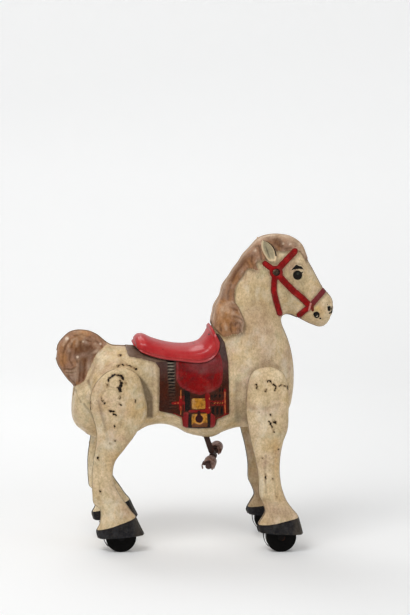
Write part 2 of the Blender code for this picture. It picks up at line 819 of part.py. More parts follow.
def make_crank(front):
    """Makes the crank that is fixed on a leg shaft, with its long rivet."""
    word = "shoulder" if front else "hip"
    pivot = SHOULDER if front else HIP
    tip = SHOULDER_ARM_TIP if front else HIP_ARM_TIP
    turn = LEFT if front else RIGHT
    bore = SHAFT_RADIUS + REST_GAP
    holes = ((pivot, bore + HUB_WELD), (tip, RIVET_RADIUS + REST_GAP))
    crank = plate(word + "_crank", rounded_bar(pivot, tip, LINK_EYE_RADIUS + HUB_WELD),
                  PLATE_THICK, "plain_steel", turn * CRANK_Y, holes=holes)
    half = CRANK_HUB_LENGTH / 2
    hub = turned(word + "_crank_hub", ring_profile(CRANK_HUB_RADIUS, bore, -half, half),
                 None, side_point(pivot, 0), home=cutters, bored=True)
    join(crank, hub)
    rivet = turned(word + "_crank_rivet", rivet_profile(-SPRING_PLANE - 4 * MM), "plain_steel",
                   side_point(tip, 0), (0, turn, 0))
    return [crank, rivet]


def make_link(front):
    """Makes a flat link between the lever and a crank."""
    start = FRONT_ARM_TIP if front else REAR_ARM_TIP
    end = SHOULDER_ARM_TIP if front else HIP_ARM_TIP
    turn = LEFT if front else RIGHT
    word = "front" if front else "rear"
    outline = rounded_bar(start, end, LINK_EYE_RADIUS)
    holes = [(place, RIVET_RADIUS + RUN_GAP) for place in (start, end)]
    return plate(word + "_link", outline, PLATE_THICK, "plain_steel", turn * LINK_Y, holes=holes)


def make_lever():
    """Makes the pedal lever, its rivets, the cross bar and the footrests."""
    neck = SOCKET_RADIUS - 3.3 * MM + LEVER_WIDTH / 2
    outline = rounded_path((REAR_ARM_TIP, PEDAL_PIVOT, PEDAL_BAR_CENTRE - LEVER_LINE * neck),
                           LEVER_WIDTH / 2)
    rivet_hole = RIVET_RADIUS + REST_GAP
    shaft_hole = PEDAL_SHAFT_RADIUS + RUN_GAP
    holes = ((REAR_ARM_TIP, rivet_hole), (FRONT_ARM_TIP, rivet_hole),
             (PEDAL_PIVOT, (shaft_hole + LEVER_WIDTH / 2) / 2))
    lever = plate("pedal_lever", outline, LEVER_THICK, "rusty_steel", 0, holes=holes)
    half = LEVER_HUB_LENGTH / 2
    hub = turned("lever_hub", ring_profile(LEVER_HUB_RADIUS, shaft_hole, -half, half), None,
                 side_point(PEDAL_PIVOT, 0), home=cutters, bored=True)
    half = SOCKET_LENGTH / 2
    socket = turned("bar_socket", ring_profile(SOCKET_RADIUS, BAR_RADIUS + REST_GAP, -half, half),
                    None, side_point(PEDAL_BAR_CENTRE, 0), bar_direction(), home=cutters,
                    bored=True)
    join(lever, socket)
    join(lever, hub)
    pieces = [lever]
    for word, tip, turn in (("front", FRONT_ARM_TIP, LEFT), ("rear", REAR_ARM_TIP, RIGHT)):
        low = -LEVER_THICK / 2 - REST_GAP
        pieces.append(turned("lever_%s_rivet" % word, rivet_profile(low), "plain_steel",
                             side_point(tip, 0), (0, turn, 0)))
    return pieces + make_pedals()


def rivet_profile(low):
    """Gives a link rivet's profile, from its head outside the link down to low."""
    high = LINK_Y + PLATE_THICK / 2 + REST_GAP
    head = RIVET_HEAD_RADIUS
    return [
        (0, high + RIVET_HEAD), (head, high + RIVET_HEAD), (head, high), (RIVET_RADIUS, high),
        (RIVET_RADIUS, low), (head, low), (head, low - RIVET_HEAD), (0, low - RIVET_HEAD),
    ]


def bar_direction():
    """Gives the cross bar's direction, towards its left end."""
    flat = math.cos(BAR_DROP)
    return Vector((math.sin(BAR_YAW) * flat, math.cos(BAR_YAW) * flat, math.sin(BAR_DROP)))


def make_pedals():
    """Makes the cross bar, headed at both ends, with its arched footrests."""
    centre = side_point(PEDAL_BAR_CENTRE, 0)
    line = bar_direction()
    end = BAR_LENGTH / 2 - BAR_HEAD
    pieces = [turned("pedal_bar", headed_profile(BAR_RADIUS, end, BAR_HEAD), "rusty_steel",
                     centre, line)]
    for side in (RIGHT, LEFT):
        pieces.append(make_footrest(side, centre, line, end - REST_GAP))
    return pieces


def make_footrest(side, centre, line, end):
    """Makes one footrest: an arched tread on an end web that the bar passes through."""
    name = "footrest_" + side_name(side)
    ahead = Vector((line.y, -line.x, 0)).normalized()
    up = ahead.cross(line).normalized()
    if up.z < 0:
        up = -up
    rear_angle, front_angle = math.radians(205), math.radians(-35)
    steps = 10
    inner_end = end - FOOTREST_LENGTH
    rows = []
    for reach in (inner_end, end):
        row = []
        for step in range(steps + 1):
            angle = rear_angle + (front_angle - rear_angle) * step / steps
            radius = FOOTREST_ARCH
            offset = ahead * radius * math.cos(angle) + up * radius * math.sin(angle)
            row.append(centre + line * side * reach + offset)
        rows.append(row)
    mesh = bpy.data.meshes.new(name)
    points = [tuple(point) for row in rows for point in row]
    mesh.from_pydata(points, [], row_faces(rows, LEFT if side == RIGHT else RIGHT))
    rest = add_piece(name, mesh, "rusty_steel", smooth=40)
    solid = rest.modifiers.new("sheet", "SOLIDIFY")
    solid.thickness = FOOTREST_SHEET
    solid.offset = -1
    solid.use_even_offset = True
    web = turned(name + "_web",
                 ring_profile(FOOTREST_ARCH - FOOTREST_SHEET / 2, BAR_RADIUS + REST_GAP, 0,
                              FOOTREST_SHEET),
                 None, centre + line * side * (end - 1.5 * FOOTREST_SHEET), line * side,
                 home=cutters, bored=True)
    join(rest, web)
    return rest


def make_chassis():
    """Makes the rails that carry the pivots, the pedal shaft and the spring bolts."""
    pieces = []
    for side in (RIGHT, LEFT):
        name = "chassis_rail_" + side_name(side)
        y = side * (RAIL_INNER_Y + RAIL_THICK / 2)
        outline = rounded_path((HIP, PEDAL_PIVOT, SHOULDER), RAIL_BOSS)
        holes = (
            (HIP, SHAFT_RADIUS + RUN_GAP), (SHOULDER, SHAFT_RADIUS + RUN_GAP),
            (PEDAL_PIVOT, PEDAL_SHAFT_RADIUS + REST_GAP),
            (FRONT_BOLT, SPRING_BOLT_RADIUS + REST_GAP), (REAR_BOLT, SPRING_BOLT_RADIUS + REST_GAP),
        )
        pieces.append(plate(name, outline, RAIL_THICK, "plain_steel", y, holes=holes))
    outer = RAIL_INNER_Y + RAIL_THICK + REST_GAP
    for name, centre, radius, middle in (
        ("pedal_shaft", PEDAL_PIVOT, PEDAL_SHAFT_RADIUS, LEVER_HUB_LENGTH / 2 + RUN_GAP),
        ("front_spring_bolt", FRONT_BOLT, SPRING_BOLT_RADIUS, SPRING_PLANE + 4 * MM),
        ("rear_spring_bolt", REAR_BOLT, SPRING_BOLT_RADIUS, SPRING_PLANE + 4 * MM),
    ):
        pieces.append(make_cross_bolt(name, centre, radius, middle, outer))
    return pieces


def make_cross_bolt(name, centre, radius, middle, outer):
    """Makes a bolt across the rails, with collars inside them and a head at each end."""
    collar, head = radius + 3 * MM, radius + 3 * MM
    inner = RAIL_INNER_Y - REST_GAP
    profile = [
        (0, outer + 3 * MM), (head, outer + 3 * MM), (head, outer), (radius, outer),
        (radius, inner), (collar, inner), (collar, middle), (radius, middle),
    ]
    profile += [(r, -h) for r, h in reversed(profile)]
    return turned(name, profile, "plain_steel", side_point(centre, 0), steps=10)


def make_spring(front):
    """Winds a return spring from a crank's rivet to its bolt, with an eye at each end."""
    name = "front_spring" if front else "rear_spring"
    start = SHOULDER_ARM_TIP if front else HIP_ARM_TIP
    end = FRONT_BOLT if front else REAR_BOLT
    plane = -SPRING_PLANE if front else SPRING_PLANE
    line = side_point(end - start, 0).normalized()
    across = Vector((0, 1, 0))
    up = line.cross(across)
    eye = RIVET_RADIUS + RUN_GAP + SPRING_WIRE_RADIUS
    first, last = side_point(start, plane), side_point(end, plane)
    middle = first.lerp(last, 0.5)
    coil_start = middle - line * SPRING_COIL_LENGTH / 2
    points = []
    for step in range(EYE_STEPS + 1):
        angle = math.radians(280 * step / EYE_STEPS - 260)
        points.append(first + eye * (line * math.cos(angle) + up * math.sin(angle)))
    count = SPRING_TURNS * COIL_STEPS
    for step in range(count + 1):
        angle = math.tau * step / COIL_STEPS
        centre = coil_start + line * SPRING_COIL_LENGTH * step / count
        points.append(centre + SPRING_COIL_RADIUS * (up * math.cos(angle)
                                                     + across * math.sin(angle)))
    for step in range(EYE_STEPS + 1):
        angle = math.radians(160 - 280 * step / EYE_STEPS)
        points.append(last + eye * (line * math.cos(angle) + up * math.sin(angle)))
    return wire(name, points, SPRING_WIRE_RADIUS, "spring_steel")


def hoof_section(stations, share):
    """Gives the inside of a hoof between its last two stations, as (X, Z, outer, inner)."""
    upper, lower = stations[-2], stations[-1]
    mixed = [a + (b - a) * share for a, b in zip(upper, lower)]
    section = []
    for step in range(LEG_RING + 1):
        place = ring_share(step, LEG_RING)
        x = (mixed[0] + (mixed[2] - mixed[0]) * place) * MM
        z = (mixed[1] + (mixed[3] - mixed[1]) * place) * MM
        edge = roundness_edge(place, LEG_ROUNDNESS, LEG_ROUNDNESS)
        section.append((x, z, mixed[4] * MM * edge, mixed[5] * MM * edge))
    return section


def make_bracket(front, side):
    """Makes a hoof bracket: a plate that closes the hoof, with two ears for the axle."""
    stations = FORE_LEG_STATIONS if front else HIND_LEG_STATIONS
    wheel_x = FORE_WHEEL_X if front else HIND_WHEEL_X
    name = ("fore" if front else "hind") + "_bracket_" + side_name(side)
    seam = side * TRACK / 2
    section = hoof_section(stations, BRACKET_SHARE)
    middle = section[len(section) // 2]
    shrink = 1 - 5.5 * MM / abs(section[0][0] - section[-1][0])
    outer_loop, inner_loop = [], []
    for x, z, outer, inner in section:
        near_x = middle[0] + (x - middle[0]) * shrink
        near_z = middle[1] + (z - middle[1]) * shrink
        play = 1.6 * MM
        outer_loop.append((near_x, seam + side * max(outer - play, 1 * MM), near_z))
        inner_loop.append((near_x, seam - side * max(inner - play, 1 * MM), near_z))
    loop = outer_loop + inner_loop[::-1]
    shape = bmesh.new()
    face = shape.faces.new([shape.verts.new(point) for point in loop])
    face.normal_update()
    if face.normal.z < 0:
        face.normal_flip()
    thick = BRACKET_SHEET
    made = bmesh.ops.extrude_face_region(shape, geom=[face])
    moved = [item for item in made["geom"] if isinstance(item, bmesh.types.BMVert)]
    bmesh.ops.translate(shape, vec=Vector((0, 0, thick)), verts=moved)
    bmesh.ops.recalc_face_normals(shape, faces=shape.faces)
    mesh = bpy.data.meshes.new(name)
    shape.to_mesh(mesh)
    shape.free()
    bracket = add_piece(name, mesh, "rusty_steel")
    ear_y = WHEEL_WIDTH / 2 + EAR_PLAY + thick / 2
    axle = Vector((wheel_x, WHEEL_CENTRE_Z))
    top = Vector((wheel_x, middle[1] + 4 * MM))
    for turn in (RIGHT, LEFT):
        ear = plate("%s_ear_%d" % (name, turn), rounded_bar(top, axle, EAR_RADIUS, 4), thick,
                    None, seam + turn * ear_y, cutters, holes=((axle, AXLE_RADIUS + REST_GAP),))
        join(bracket, ear)
    bpy.ops.mesh.primitive_cube_add(size=1)
    slot = bpy.context.active_object
    slot.name = name + "_slot"
    chord = math.sqrt(WHEEL_RADIUS ** 2 - (middle[1] - 4 * MM - WHEEL_CENTRE_Z) ** 2)
    slot.scale = (2 * chord + 4 * MM, WHEEL_WIDTH + 1.6 * EAR_PLAY, 20 * MM)
    slot.location = (wheel_x, seam, middle[1] + thick)
    for collection in list(slot.users_collection):
        collection.objects.unlink(slot)
    cutters.objects.link(slot)
    cut(bracket, slot)
    join(bracket, stop_spring(name + "_leaf", wheel_x, section, seam))
    return bracket


def make_wheel(front, side):
    """Makes a roller, with a flat of its tread straight down."""
    name = ("fore" if front else "hind") + "_wheel_" + side_name(side)
    wheel_x = FORE_WHEEL_X if front else HIND_WHEEL_X
    half = WHEEL_WIDTH / 2
    bore = AXLE_RADIUS + RUN_GAP
    shoulder = WHEEL_RADIUS - TREAD_ROUND
    profile = [
        (shoulder, half), (WHEEL_RADIUS, half - TREAD_ROUND), (WHEEL_RADIUS, TREAD_ROUND - half),
        (shoulder, -half), (bore, -half), (bore, half),
    ]
    place = (wheel_x, side * TRACK / 2, WHEEL_CENTRE_Z)
    return turned(name, profile, "black_rubber", place, bored=True, steps=WHEEL_SIDES,
                  start=math.pi / WHEEL_SIDES)


def make_axle(front, side):
    """Makes the axle of a roller, headed at both ends."""
    name = ("fore" if front else "hind") + "_axle_" + side_name(side)
    wheel_x = FORE_WHEEL_X if front else HIND_WHEEL_X
    ear_out = WHEEL_WIDTH / 2 + EAR_PLAY + BRACKET_SHEET + REST_GAP
    place = (wheel_x, side * TRACK / 2, WHEEL_CENTRE_Z)
    return turned(name, headed_profile(AXLE_RADIUS, ear_out, 1.6 * MM), "plain_steel", place,
                  steps=12)


def stop_spring(name, wheel_x, section, seam):
    """Makes a one-way stop spring: a curved leaf that trails on the roller."""
    first, last = section[0], section[-1]
    slope = (first[1] - last[1]) / (first[0] - last[0])
    thick = 1.2 * MM
    start_angle, tip_angle = math.radians(176), math.radians(219)
    steps = 5
    line = []
    for step in range(steps + 1):
        share = step / steps
        angle = start_angle + (tip_angle - start_angle) * share
        reach = WHEEL_RADIUS + (5.0 - 4.4 * share) * MM + thick / 2
        line.append(Vector((wheel_x + reach * math.cos(angle),
                            WHEEL_CENTRE_Z + reach * math.sin(angle))))
    foot_x = line[0].x - 1 * MM
    foot_z = first[1] + (foot_x - first[0]) * slope + BRACKET_SHEET / 2
    line.insert(0, Vector((foot_x, foot_z)))
    return plate(name, strip_outline(line, thick), 10 * MM, None, seam, cutters)


def strip_outline(line, thick):
    """Gives the outline of a strip of even thickness along a line in the side view."""
    near, far = [], []
    for number, point in enumerate(line):
        before, after = line[max(number - 1, 0)], line[min(number + 1, len(line) - 1)]
        along = (after - before).normalized()
        across = Vector((-along.y, along.x)) * thick / 2
        near.append(point + across)
        far.append(point - across)
    return near + far[::-1]


def make_ear(side):
    """Makes an ear: a small leaf-shaped cup of sheet, seated on the head."""
    name = "ear_" + side_name(side)
    base, tip = Vector((172, 700)) * MM, Vector((152, 748)) * MM
    hit, normal = skin_point(base.x, base.y)
    foot = mirrored(hit, side)
    rows = []
    for share, half, cup in ((0, 8, 3), (0.25, 12, 6), (0.55, 12, 6), (0.8, 8, 3), (1, 1.5, 0.5)):
        flat = base.lerp(tip, share)
        row = []
        for step in range(-2, 3):
            turn = step / 2
            x = flat.x + turn * half * 0.9 * MM
            z = flat.y + turn * half * 0.38 * MM
            skin, normal = skin_point(base.x, base.y)
            y = skin.y - (2.2 + 3.0 * share - cup * (1 - turn * turn)) * MM - EAR_REST
            row.append((x, -side * y, z))
        rows.append(row)
    mesh = bpy.data.meshes.new(name)
    points = [point for row in rows for point in row]
    mesh.from_pydata(points, [], row_faces(rows, side))
    ear = add_piece(name, mesh, "cream_paint", smooth=50)
    solid = ear.modifiers.new("sheet", "SOLIDIFY")
    solid.thickness = SHEET
    solid.offset = 0
    solid.use_even_offset = True
    return ear


def make_trim(name, side, flat, profile, bored=False):
    """Makes a small turned trim, seated on one cheek."""
    hit, normal = skin_point(flat.x, flat.y)
    out = mirrored(normal if normal.y < 0 else -normal, side)
    place = mirrored(hit, side) + out * 2 * REST_GAP
    return turned(name + "_" + side_name(side), profile, "dark_bronze", place, out, bored=bored,
                  steps=12)


def make_head_trim(side):
    """Makes the bridle rosette and the rein eyelet of one cheek."""
    radius, height = ROSETTE_RADIUS, ROSETTE_HEIGHT
    dome = [(0, height), (radius * 0.55, height * 0.85), (radius * 0.9, height * 0.45),
            (radius, 0), (0, 0)]
    make_trim("bridle_rosette", side, ROSETTE, dome)
    radius, height, bore = EYELET_RADIUS, EYELET_HEIGHT, EYELET_BORE
    ring = [((radius + bore) / 2, height), (radius, height * 0.6), (radius, 0), (bore, 0),
            (bore, height * 0.6)]
    make_trim("rein_eyelet", side, EYELET, ring, bored=True)


def make_seat_studs(seat):
    """Makes the studs that hold the seat on the back, through the seam."""
    bpy.context.view_layer.update()
    graph = bpy.context.evaluated_depsgraph_get()
    skin = BVHTree.FromObject(seat, graph)
    for word, stud_x in SEAT_STUDS:
        edges = [Vector((stud_x + reach, 0, 440 * MM)) for reach in (-STUD_RADIUS, STUD_RADIUS)]
        top = min(skin.ray_cast(edge, Vector((0, 0, 1)))[0].z for edge in edges) - REST_GAP
        low = top - STUD_LENGTH
        profile = [(0, top), (STUD_RADIUS, top), (STUD_RADIUS, low), (0, low)]
        turned("seat_stud_" + word, profile, "plain_steel", (stud_x, 0, 0), (0, 0, 1), steps=12)


def build():
    """Makes every piece and hangs the moving ones on their joint axes."""
    make_body()
    seat = make_seat()
    make_seat_studs(seat)
    for side in (RIGHT, LEFT):
        make_ear(side)
        make_head_trim(side)
    make_chassis()
    for front in (True, False):
        word = "fore" if front else "hind"
        pivot = SHOULDER if front else HIP
        axis = add_pivot(word + "_legs_axis", side_point(pivot, 0))
        fixed, turning = make_shaft(front)
        hang_on(axis, *make_legs(front), *turning, *make_crank(front))
        make_spring(front)
        for side in (RIGHT, LEFT):
            hang_on(axis, make_bracket(front, side), make_axle(front, side))
            wheel_x = FORE_WHEEL_X if front else HIND_WHEEL_X
            hub = add_pivot("%s_wheel_axis_%s" % (word, side_name(side)),
                            Vector((wheel_x, side * TRACK / 2, WHEEL_CENTRE_Z)))
            hang_on(hub, make_wheel(front, side))
    lever_axis = add_pivot("pedal_axis", side_point(PEDAL_PIVOT, 0))
    hang_on(lever_axis, *make_lever())
    for front, tip in ((True, FRONT_ARM_TIP), (False, REAR_ARM_TIP)):
        link_axis = add_pivot(("front" if front else "rear") + "_link_axis", side_point(tip, 0))
        hang_on(link_axis, make_link(front))


build()
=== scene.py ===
# %% [markdown]
# # A pedal horse of pressed steel
#
# The real toy is stamped from thin sheet: two body halves meet in a seam that
# runs round the horse, and each leg is a pair of smaller halves. Everything that
# looks like leather, hair or harness is pressed into the sheet and then painted.
# So this lesson builds smooth skins first, presses the relief into them, and
# paints them with masks that the same drawing gives.

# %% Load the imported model
import json
import math

import bpy
import numpy as np
from mathutils import Matrix, Vector

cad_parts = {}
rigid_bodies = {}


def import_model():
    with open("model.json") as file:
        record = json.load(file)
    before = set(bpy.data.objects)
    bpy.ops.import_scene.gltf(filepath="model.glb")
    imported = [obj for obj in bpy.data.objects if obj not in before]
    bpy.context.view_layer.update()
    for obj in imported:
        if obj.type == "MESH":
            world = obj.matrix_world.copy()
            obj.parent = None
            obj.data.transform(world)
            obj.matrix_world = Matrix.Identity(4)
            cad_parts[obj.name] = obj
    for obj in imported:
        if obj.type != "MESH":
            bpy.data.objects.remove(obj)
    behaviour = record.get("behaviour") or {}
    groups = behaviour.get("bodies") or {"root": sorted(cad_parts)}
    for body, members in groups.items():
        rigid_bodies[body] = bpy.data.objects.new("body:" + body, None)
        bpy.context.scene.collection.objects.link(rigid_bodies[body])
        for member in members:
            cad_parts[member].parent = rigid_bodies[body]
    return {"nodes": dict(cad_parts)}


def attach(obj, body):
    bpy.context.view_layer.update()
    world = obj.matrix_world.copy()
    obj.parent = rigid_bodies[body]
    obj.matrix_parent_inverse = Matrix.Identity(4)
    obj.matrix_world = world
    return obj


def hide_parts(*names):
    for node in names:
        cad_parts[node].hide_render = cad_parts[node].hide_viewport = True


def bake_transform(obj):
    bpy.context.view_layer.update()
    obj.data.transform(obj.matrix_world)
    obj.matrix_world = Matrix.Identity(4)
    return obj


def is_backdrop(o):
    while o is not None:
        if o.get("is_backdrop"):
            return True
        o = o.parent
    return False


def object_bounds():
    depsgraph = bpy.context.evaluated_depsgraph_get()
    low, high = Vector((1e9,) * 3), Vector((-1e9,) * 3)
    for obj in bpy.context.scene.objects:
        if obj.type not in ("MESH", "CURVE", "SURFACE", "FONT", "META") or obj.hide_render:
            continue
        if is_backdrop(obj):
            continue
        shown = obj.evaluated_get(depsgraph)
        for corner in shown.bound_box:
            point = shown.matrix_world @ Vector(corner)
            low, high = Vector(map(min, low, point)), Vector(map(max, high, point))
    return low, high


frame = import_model()
cad_box = [list(corner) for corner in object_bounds()]
scene = bpy.context.scene
scene.view_settings.view_transform = "Standard"
MM = 0.001
RIGHT, LEFT = -1, 1
SIDES = ((RIGHT, "right"), (LEFT, "left"))
print("solids:", len(frame["nodes"]), "box:", cad_box)

# %% [markdown]
# ## The camera
#
# The picture was taken from a little behind the horse's right side, slightly
# above it, with a long lens. A camera is placed by three directions: what is to
# its right, what is above it, and what it looks along. The same numbers later
# tell where a point of the skin lies in the picture.

# %% Camera
EYE = np.array((-0.515835, -4.369712, 1.128654))
EYE_RIGHT = np.array((0.9925281, -0.1183812, 0.0295595))
EYE_UP = np.array((-0.0144345, 0.1266394, 0.9918438))
EYE_AHEAD = np.array((0.1211591, 0.9848596, -0.1239844))
FOCAL_DOTS = 1835.74
PICTURE = (410, 615)
SENSOR_WIDTH = 36

camera_data = bpy.data.cameras.new("camera")
camera_data.sensor_width = SENSOR_WIDTH
camera_data.lens = FOCAL_DOTS * SENSOR_WIDTH / PICTURE[1]
camera = bpy.data.objects.new("camera", camera_data)
camera.matrix_world = (
    Matrix.Translation(EYE) @ Matrix((EYE_RIGHT, EYE_UP, -EYE_AHEAD)).transposed().to_4x4()
)
scene.collection.objects.link(camera)
scene.camera = camera
print("lens in mm:", round(camera_data.lens, 2))

# %% [markdown]
# ## Floor, backdrop and light
#
# A studio sweep is one sheet of pale paper: floor, a soft bend, and a wall. A
# plane whose far edge is pulled up and whose corner is bevelled gives just that.
# All places here are in metres.


# %% Paper sweep
SWEEP_SIZE, SWEEP_MIDDLE = 16, -3
WALL_HEIGHT, BEND_REACH, BEND_STEPS = 9, 2.5, 12


def picked_alone(item):
    """Makes one object the only selected and active one."""
    bpy.ops.object.select_all(action="DESELECT")
    item.select_set(True)
    bpy.context.view_layer.objects.active = item
    return item


bpy.ops.object.select_all(action="DESELECT")
bpy.ops.mesh.primitive_plane_add(size=SWEEP_SIZE, location=(0, SWEEP_MIDDLE, 0))
sweep = picked_alone(bpy.context.active_object)
sweep.name = "paper_sweep"
bpy.ops.object.transform_apply(location=True, rotation=True, scale=True)
# Only the plane's far edge is picked, and pulled up to make the wall
for vertex in sweep.data.vertices:
    vertex.select = vertex.co.y > 0
for edge in sweep.data.edges:
    edge.select = all(sweep.data.vertices[i].select for i in edge.vertices)
for face in sweep.data.polygons:
    face.select = False
bpy.ops.object.mode_set(mode="EDIT")
bpy.ops.mesh.select_mode(type="EDGE")
bpy.ops.mesh.extrude_region_move(TRANSFORM_OT_translate={"value": (0, 0, WALL_HEIGHT)})
bpy.ops.object.mode_set(mode="OBJECT")
bend = sweep.modifiers.new("bend", "BEVEL")
bend.width = BEND_REACH
bend.segments = BEND_STEPS
bend.limit_method = "ANGLE"
bpy.ops.object.modifier_apply(modifier="bend")
bpy.ops.object.shade_smooth()
sweep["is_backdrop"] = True
print("sweep corners:", len(sweep.data.vertices))

# %% [markdown]
# ## The paper
#
# White paper under a soft light comes out grey in a render, while the photograph
# was exposed so that it is nearly white. A faint glow lifts it, a little on the
# floor and more on the wall behind. Only the camera sees the glow, so it lights
# nothing.

# %% Paper
FLOOR_GLOW, WALL_GLOW = 0.03, 0.325
GLOW_START, GLOW_END = 0.5, 4.2

paper = bpy.data.materials.new("sweep_paper")
paper.use_nodes = True
nodes, links = paper.node_tree.nodes, paper.node_tree.links
surface = nodes["Principled BSDF"]
surface.inputs["Base Color"].default_value = (0.84, 0.84, 0.835, 1)
surface.inputs["Roughness"].default_value = 0.85
surface.inputs["Specular IOR Level"].default_value = 0.1
place = nodes.new("ShaderNodeTexCoord")
distance = nodes.new("ShaderNodeSeparateXYZ")
climb = nodes.new("ShaderNodeMapRange")
climb.inputs["From Min"].default_value = GLOW_START
climb.inputs["From Max"].default_value = GLOW_END
climb.inputs["To Min"].default_value = FLOOR_GLOW
climb.inputs["To Max"].default_value = WALL_GLOW
seen = nodes.new("ShaderNodeLightPath")
glow = nodes.new("ShaderNodeMath")
glow.operation = "MULTIPLY"
links.new(place.outputs["Object"], distance.inputs["Vector"])
links.new(distance.outputs["Y"], climb.inputs["Value"])
links.new(climb.outputs["Result"], glow.inputs[0])
links.new(seen.outputs["Is Camera Ray"], glow.inputs[1])
surface.inputs["Emission Color"].default_value = (1, 1, 1, 1)
links.new(glow.outputs["Value"], surface.inputs["Emission Strength"])
sweep.data.materials.append(paper)
print("paper nodes:", len(nodes))

# %% [markdown]
# ## Light
#
# The studio's light is a pale even sky. A large soft lamp above the camera's
# left gives the form, a weak one fills the right, and one behind rims the back.


# %% Lamps and sky
def lamp(name, place, target, size, power):
    """Hangs a square soft lamp that shines at a target: its size in metres, its power in watts."""
    data = bpy.data.lights.new(name, "AREA")
    data.size = size
    data.energy = power
    item = bpy.data.objects.new(name, data)
    item.location = place
    item.rotation_mode = "QUATERNION"
    item.rotation_quaternion = (Vector(target) - Vector(place)).to_track_quat("-Z", "Y")
    scene.collection.objects.link(item)


TOY_MIDDLE, TOY_BACK = (0, 0, 0.4), (0, 0, 0.5)
lamp("key", (-1.5, -1.9, 3.5), TOY_MIDDLE, 1.7, 70)
lamp("fill", (2.6, -2.4, 1.6), TOY_MIDDLE, 1.6, 10)
lamp("rim", (-0.7, 1.7, 2.9), TOY_BACK, 1.8, 34)

world = bpy.data.worlds.new("studio")
scene.world = world
world.use_nodes = True
sky = world.node_tree
background = sky.nodes["Background"]
background.inputs["Color"].default_value = (0.93, 0.94, 0.95, 1)
background.inputs["Strength"].default_value = 0.57
print("lamps:", list(bpy.data.lights.keys()))

# %% [markdown]
# ## Small helpers for materials
#
# Every finish below is wired from nodes. A few helpers keep that short: they make
# a node, do a sum, lay a colour over another through a mask, and start or place a
# node group with named inputs and outputs.


# %% Node helpers
def wired(tree, node, links):
    """Wires a node's inputs to sockets, or sets them to values."""
    for socket, value in links.items():
        if isinstance(value, bpy.types.NodeSocket):
            tree.links.new(value, node.inputs[socket])
        else:
            node.inputs[socket].default_value = value
    return node


def add(tree, kind, links=None, **settings):
    """Adds a node, sets its properties and wires or sets its inputs."""
    made = tree.nodes.new("ShaderNode" + kind)
    for key, value in settings.items():
        setattr(made, key, value)
    return wired(tree, made, links or {})


def maths(tree, operation, first, second=0.0, clamp=False):
    """Does one sum with two values."""
    return add(tree, "Math", {0: first, 1: second}, operation=operation,
               use_clamp=clamp).outputs[0]


def lay_over(tree, below, above, mask):
    """Lays one colour over another where the mask is 1."""
    return add(tree, "Mix", {0: mask, 6: below, 7: above}, data_type="RGBA").outputs[2]


def rgb(*values):
    """Turns screen colours, 0 to 255, into the linear colours that shaders use."""
    return tuple(
        (v / 255 / 12.92 if v < 10 else ((v / 255 + 0.055) / 1.055) ** 2.4) for v in values
    ) + (1,)


def new_group(name, inputs, outputs):
    """Starts a node group and returns its tree, input node and output node."""
    tree = bpy.data.node_groups.new(name, "ShaderNodeTree")
    for label, kind, start in inputs:
        socket = tree.interface.new_socket(label, in_out="INPUT", socket_type="NodeSocket" + kind)
        socket.default_value = start
    for label, kind in outputs:
        tree.interface.new_socket(label, in_out="OUTPUT", socket_type="NodeSocket" + kind)
    return tree, tree.nodes.new("NodeGroupInput"), tree.nodes.new("NodeGroupOutput")


def use_group(tree, group, links):
    """Places a node group in a tree and wires its inputs."""
    return wired(tree, add(tree, "Group", node_tree=group), links)


print("red of the saddle, linear:", [round(part, 3) for part in rgb(176, 16, 24)])

# %% [markdown]
# ## Group: a brushed paint edge
#
# Each painted shape comes as a distance in millimetres, positive inside it.
# Cutting that distance at zero gives an edge that stays crisp at any size. A
# little noise added first makes the edge wander as a painter's brush does.

# %% Brushed edge group
brushed_edge, given, result = new_group(
    "brushed_edge",
    (("Distance", "Float", 0.0), ("Softness", "Float", 0.8), ("Wobble", "Float", 0.6)),
    (("Mask", "Float"),),
)
place = add(brushed_edge, "TexCoord").outputs["Object"]
wander = add(brushed_edge, "TexNoise", {"Vector": place, "Scale": 170.0, "Detail": 4.0})
offset = maths(brushed_edge, "SUBTRACT", wander.outputs["Fac"], 0.5)
offset = maths(brushed_edge, "MULTIPLY", offset, given.outputs["Wobble"])
offset = maths(brushed_edge, "MULTIPLY", offset, 4.0)
moved = maths(brushed_edge, "ADD", given.outputs["Distance"], offset)
steep = maths(brushed_edge, "DIVIDE", moved, given.outputs["Softness"])
mask = maths(brushed_edge, "ADD", steep, 0.5, clamp=True)
brushed_edge.links.new(mask, result.inputs["Mask"])
print("groups:", [group.name for group in bpy.data.node_groups])

# %% [markdown]
# ## Group: old paint
#
# Years of hands and cellars leave their marks on oil paint: it yellows in clouds,
# it is rubbed pale on ridges and holds dirt in crevices, it takes dark specks, it
# cracks into a fine net, and small chips show the black primer. Ridges also get a
# painted highlight. The group changes a colour by these, each with its own
# amount, and gives back a height for the bump and a change of gloss.

# %% Old paint group
RUBBED_CREAM, RIDGE_HIGHLIGHT_CREAM = (0.84, 0.77, 0.62, 1), (0.80, 0.72, 0.60, 1)
CRACK_BROWN, SPECK_BROWN = (0.16, 0.10, 0.06, 1), (0.13, 0.075, 0.04, 1)
CREVICE_BROWN, PRIMER = (0.10, 0.06, 0.035, 1), (0.018, 0.014, 0.012, 1)
# Three sizes of cloud: scale, stretch, where a cloud starts, where it is full, tone
YELLOWING = (
    (9.0, (1, 1, 1), 0.38, 0.66, (0.80, 0.74, 0.62, 1)),
    (52.0, (1, 1, 0.85), 0.40, 0.68, (0.72, 0.69, 0.62, 1)),
    (210.0, (1, 1, 0.8), 0.42, 0.66, (0.66, 0.62, 0.56, 1)),
)
old_paint, given, result = new_group(
    "old_paint",
    (("Color", "Color", (1, 1, 1, 1)), ("Clouds", "Float", 0.5), ("Specks", "Float", 0.5),
     ("Cracks", "Float", 0.5), ("Chips", "Float", 0.2), ("Crevice", "Float", 0.0)),
    (("Color", "Color"), ("Rough", "Float"), ("Height", "Float")),
)
place = add(old_paint, "TexCoord").outputs["Object"]


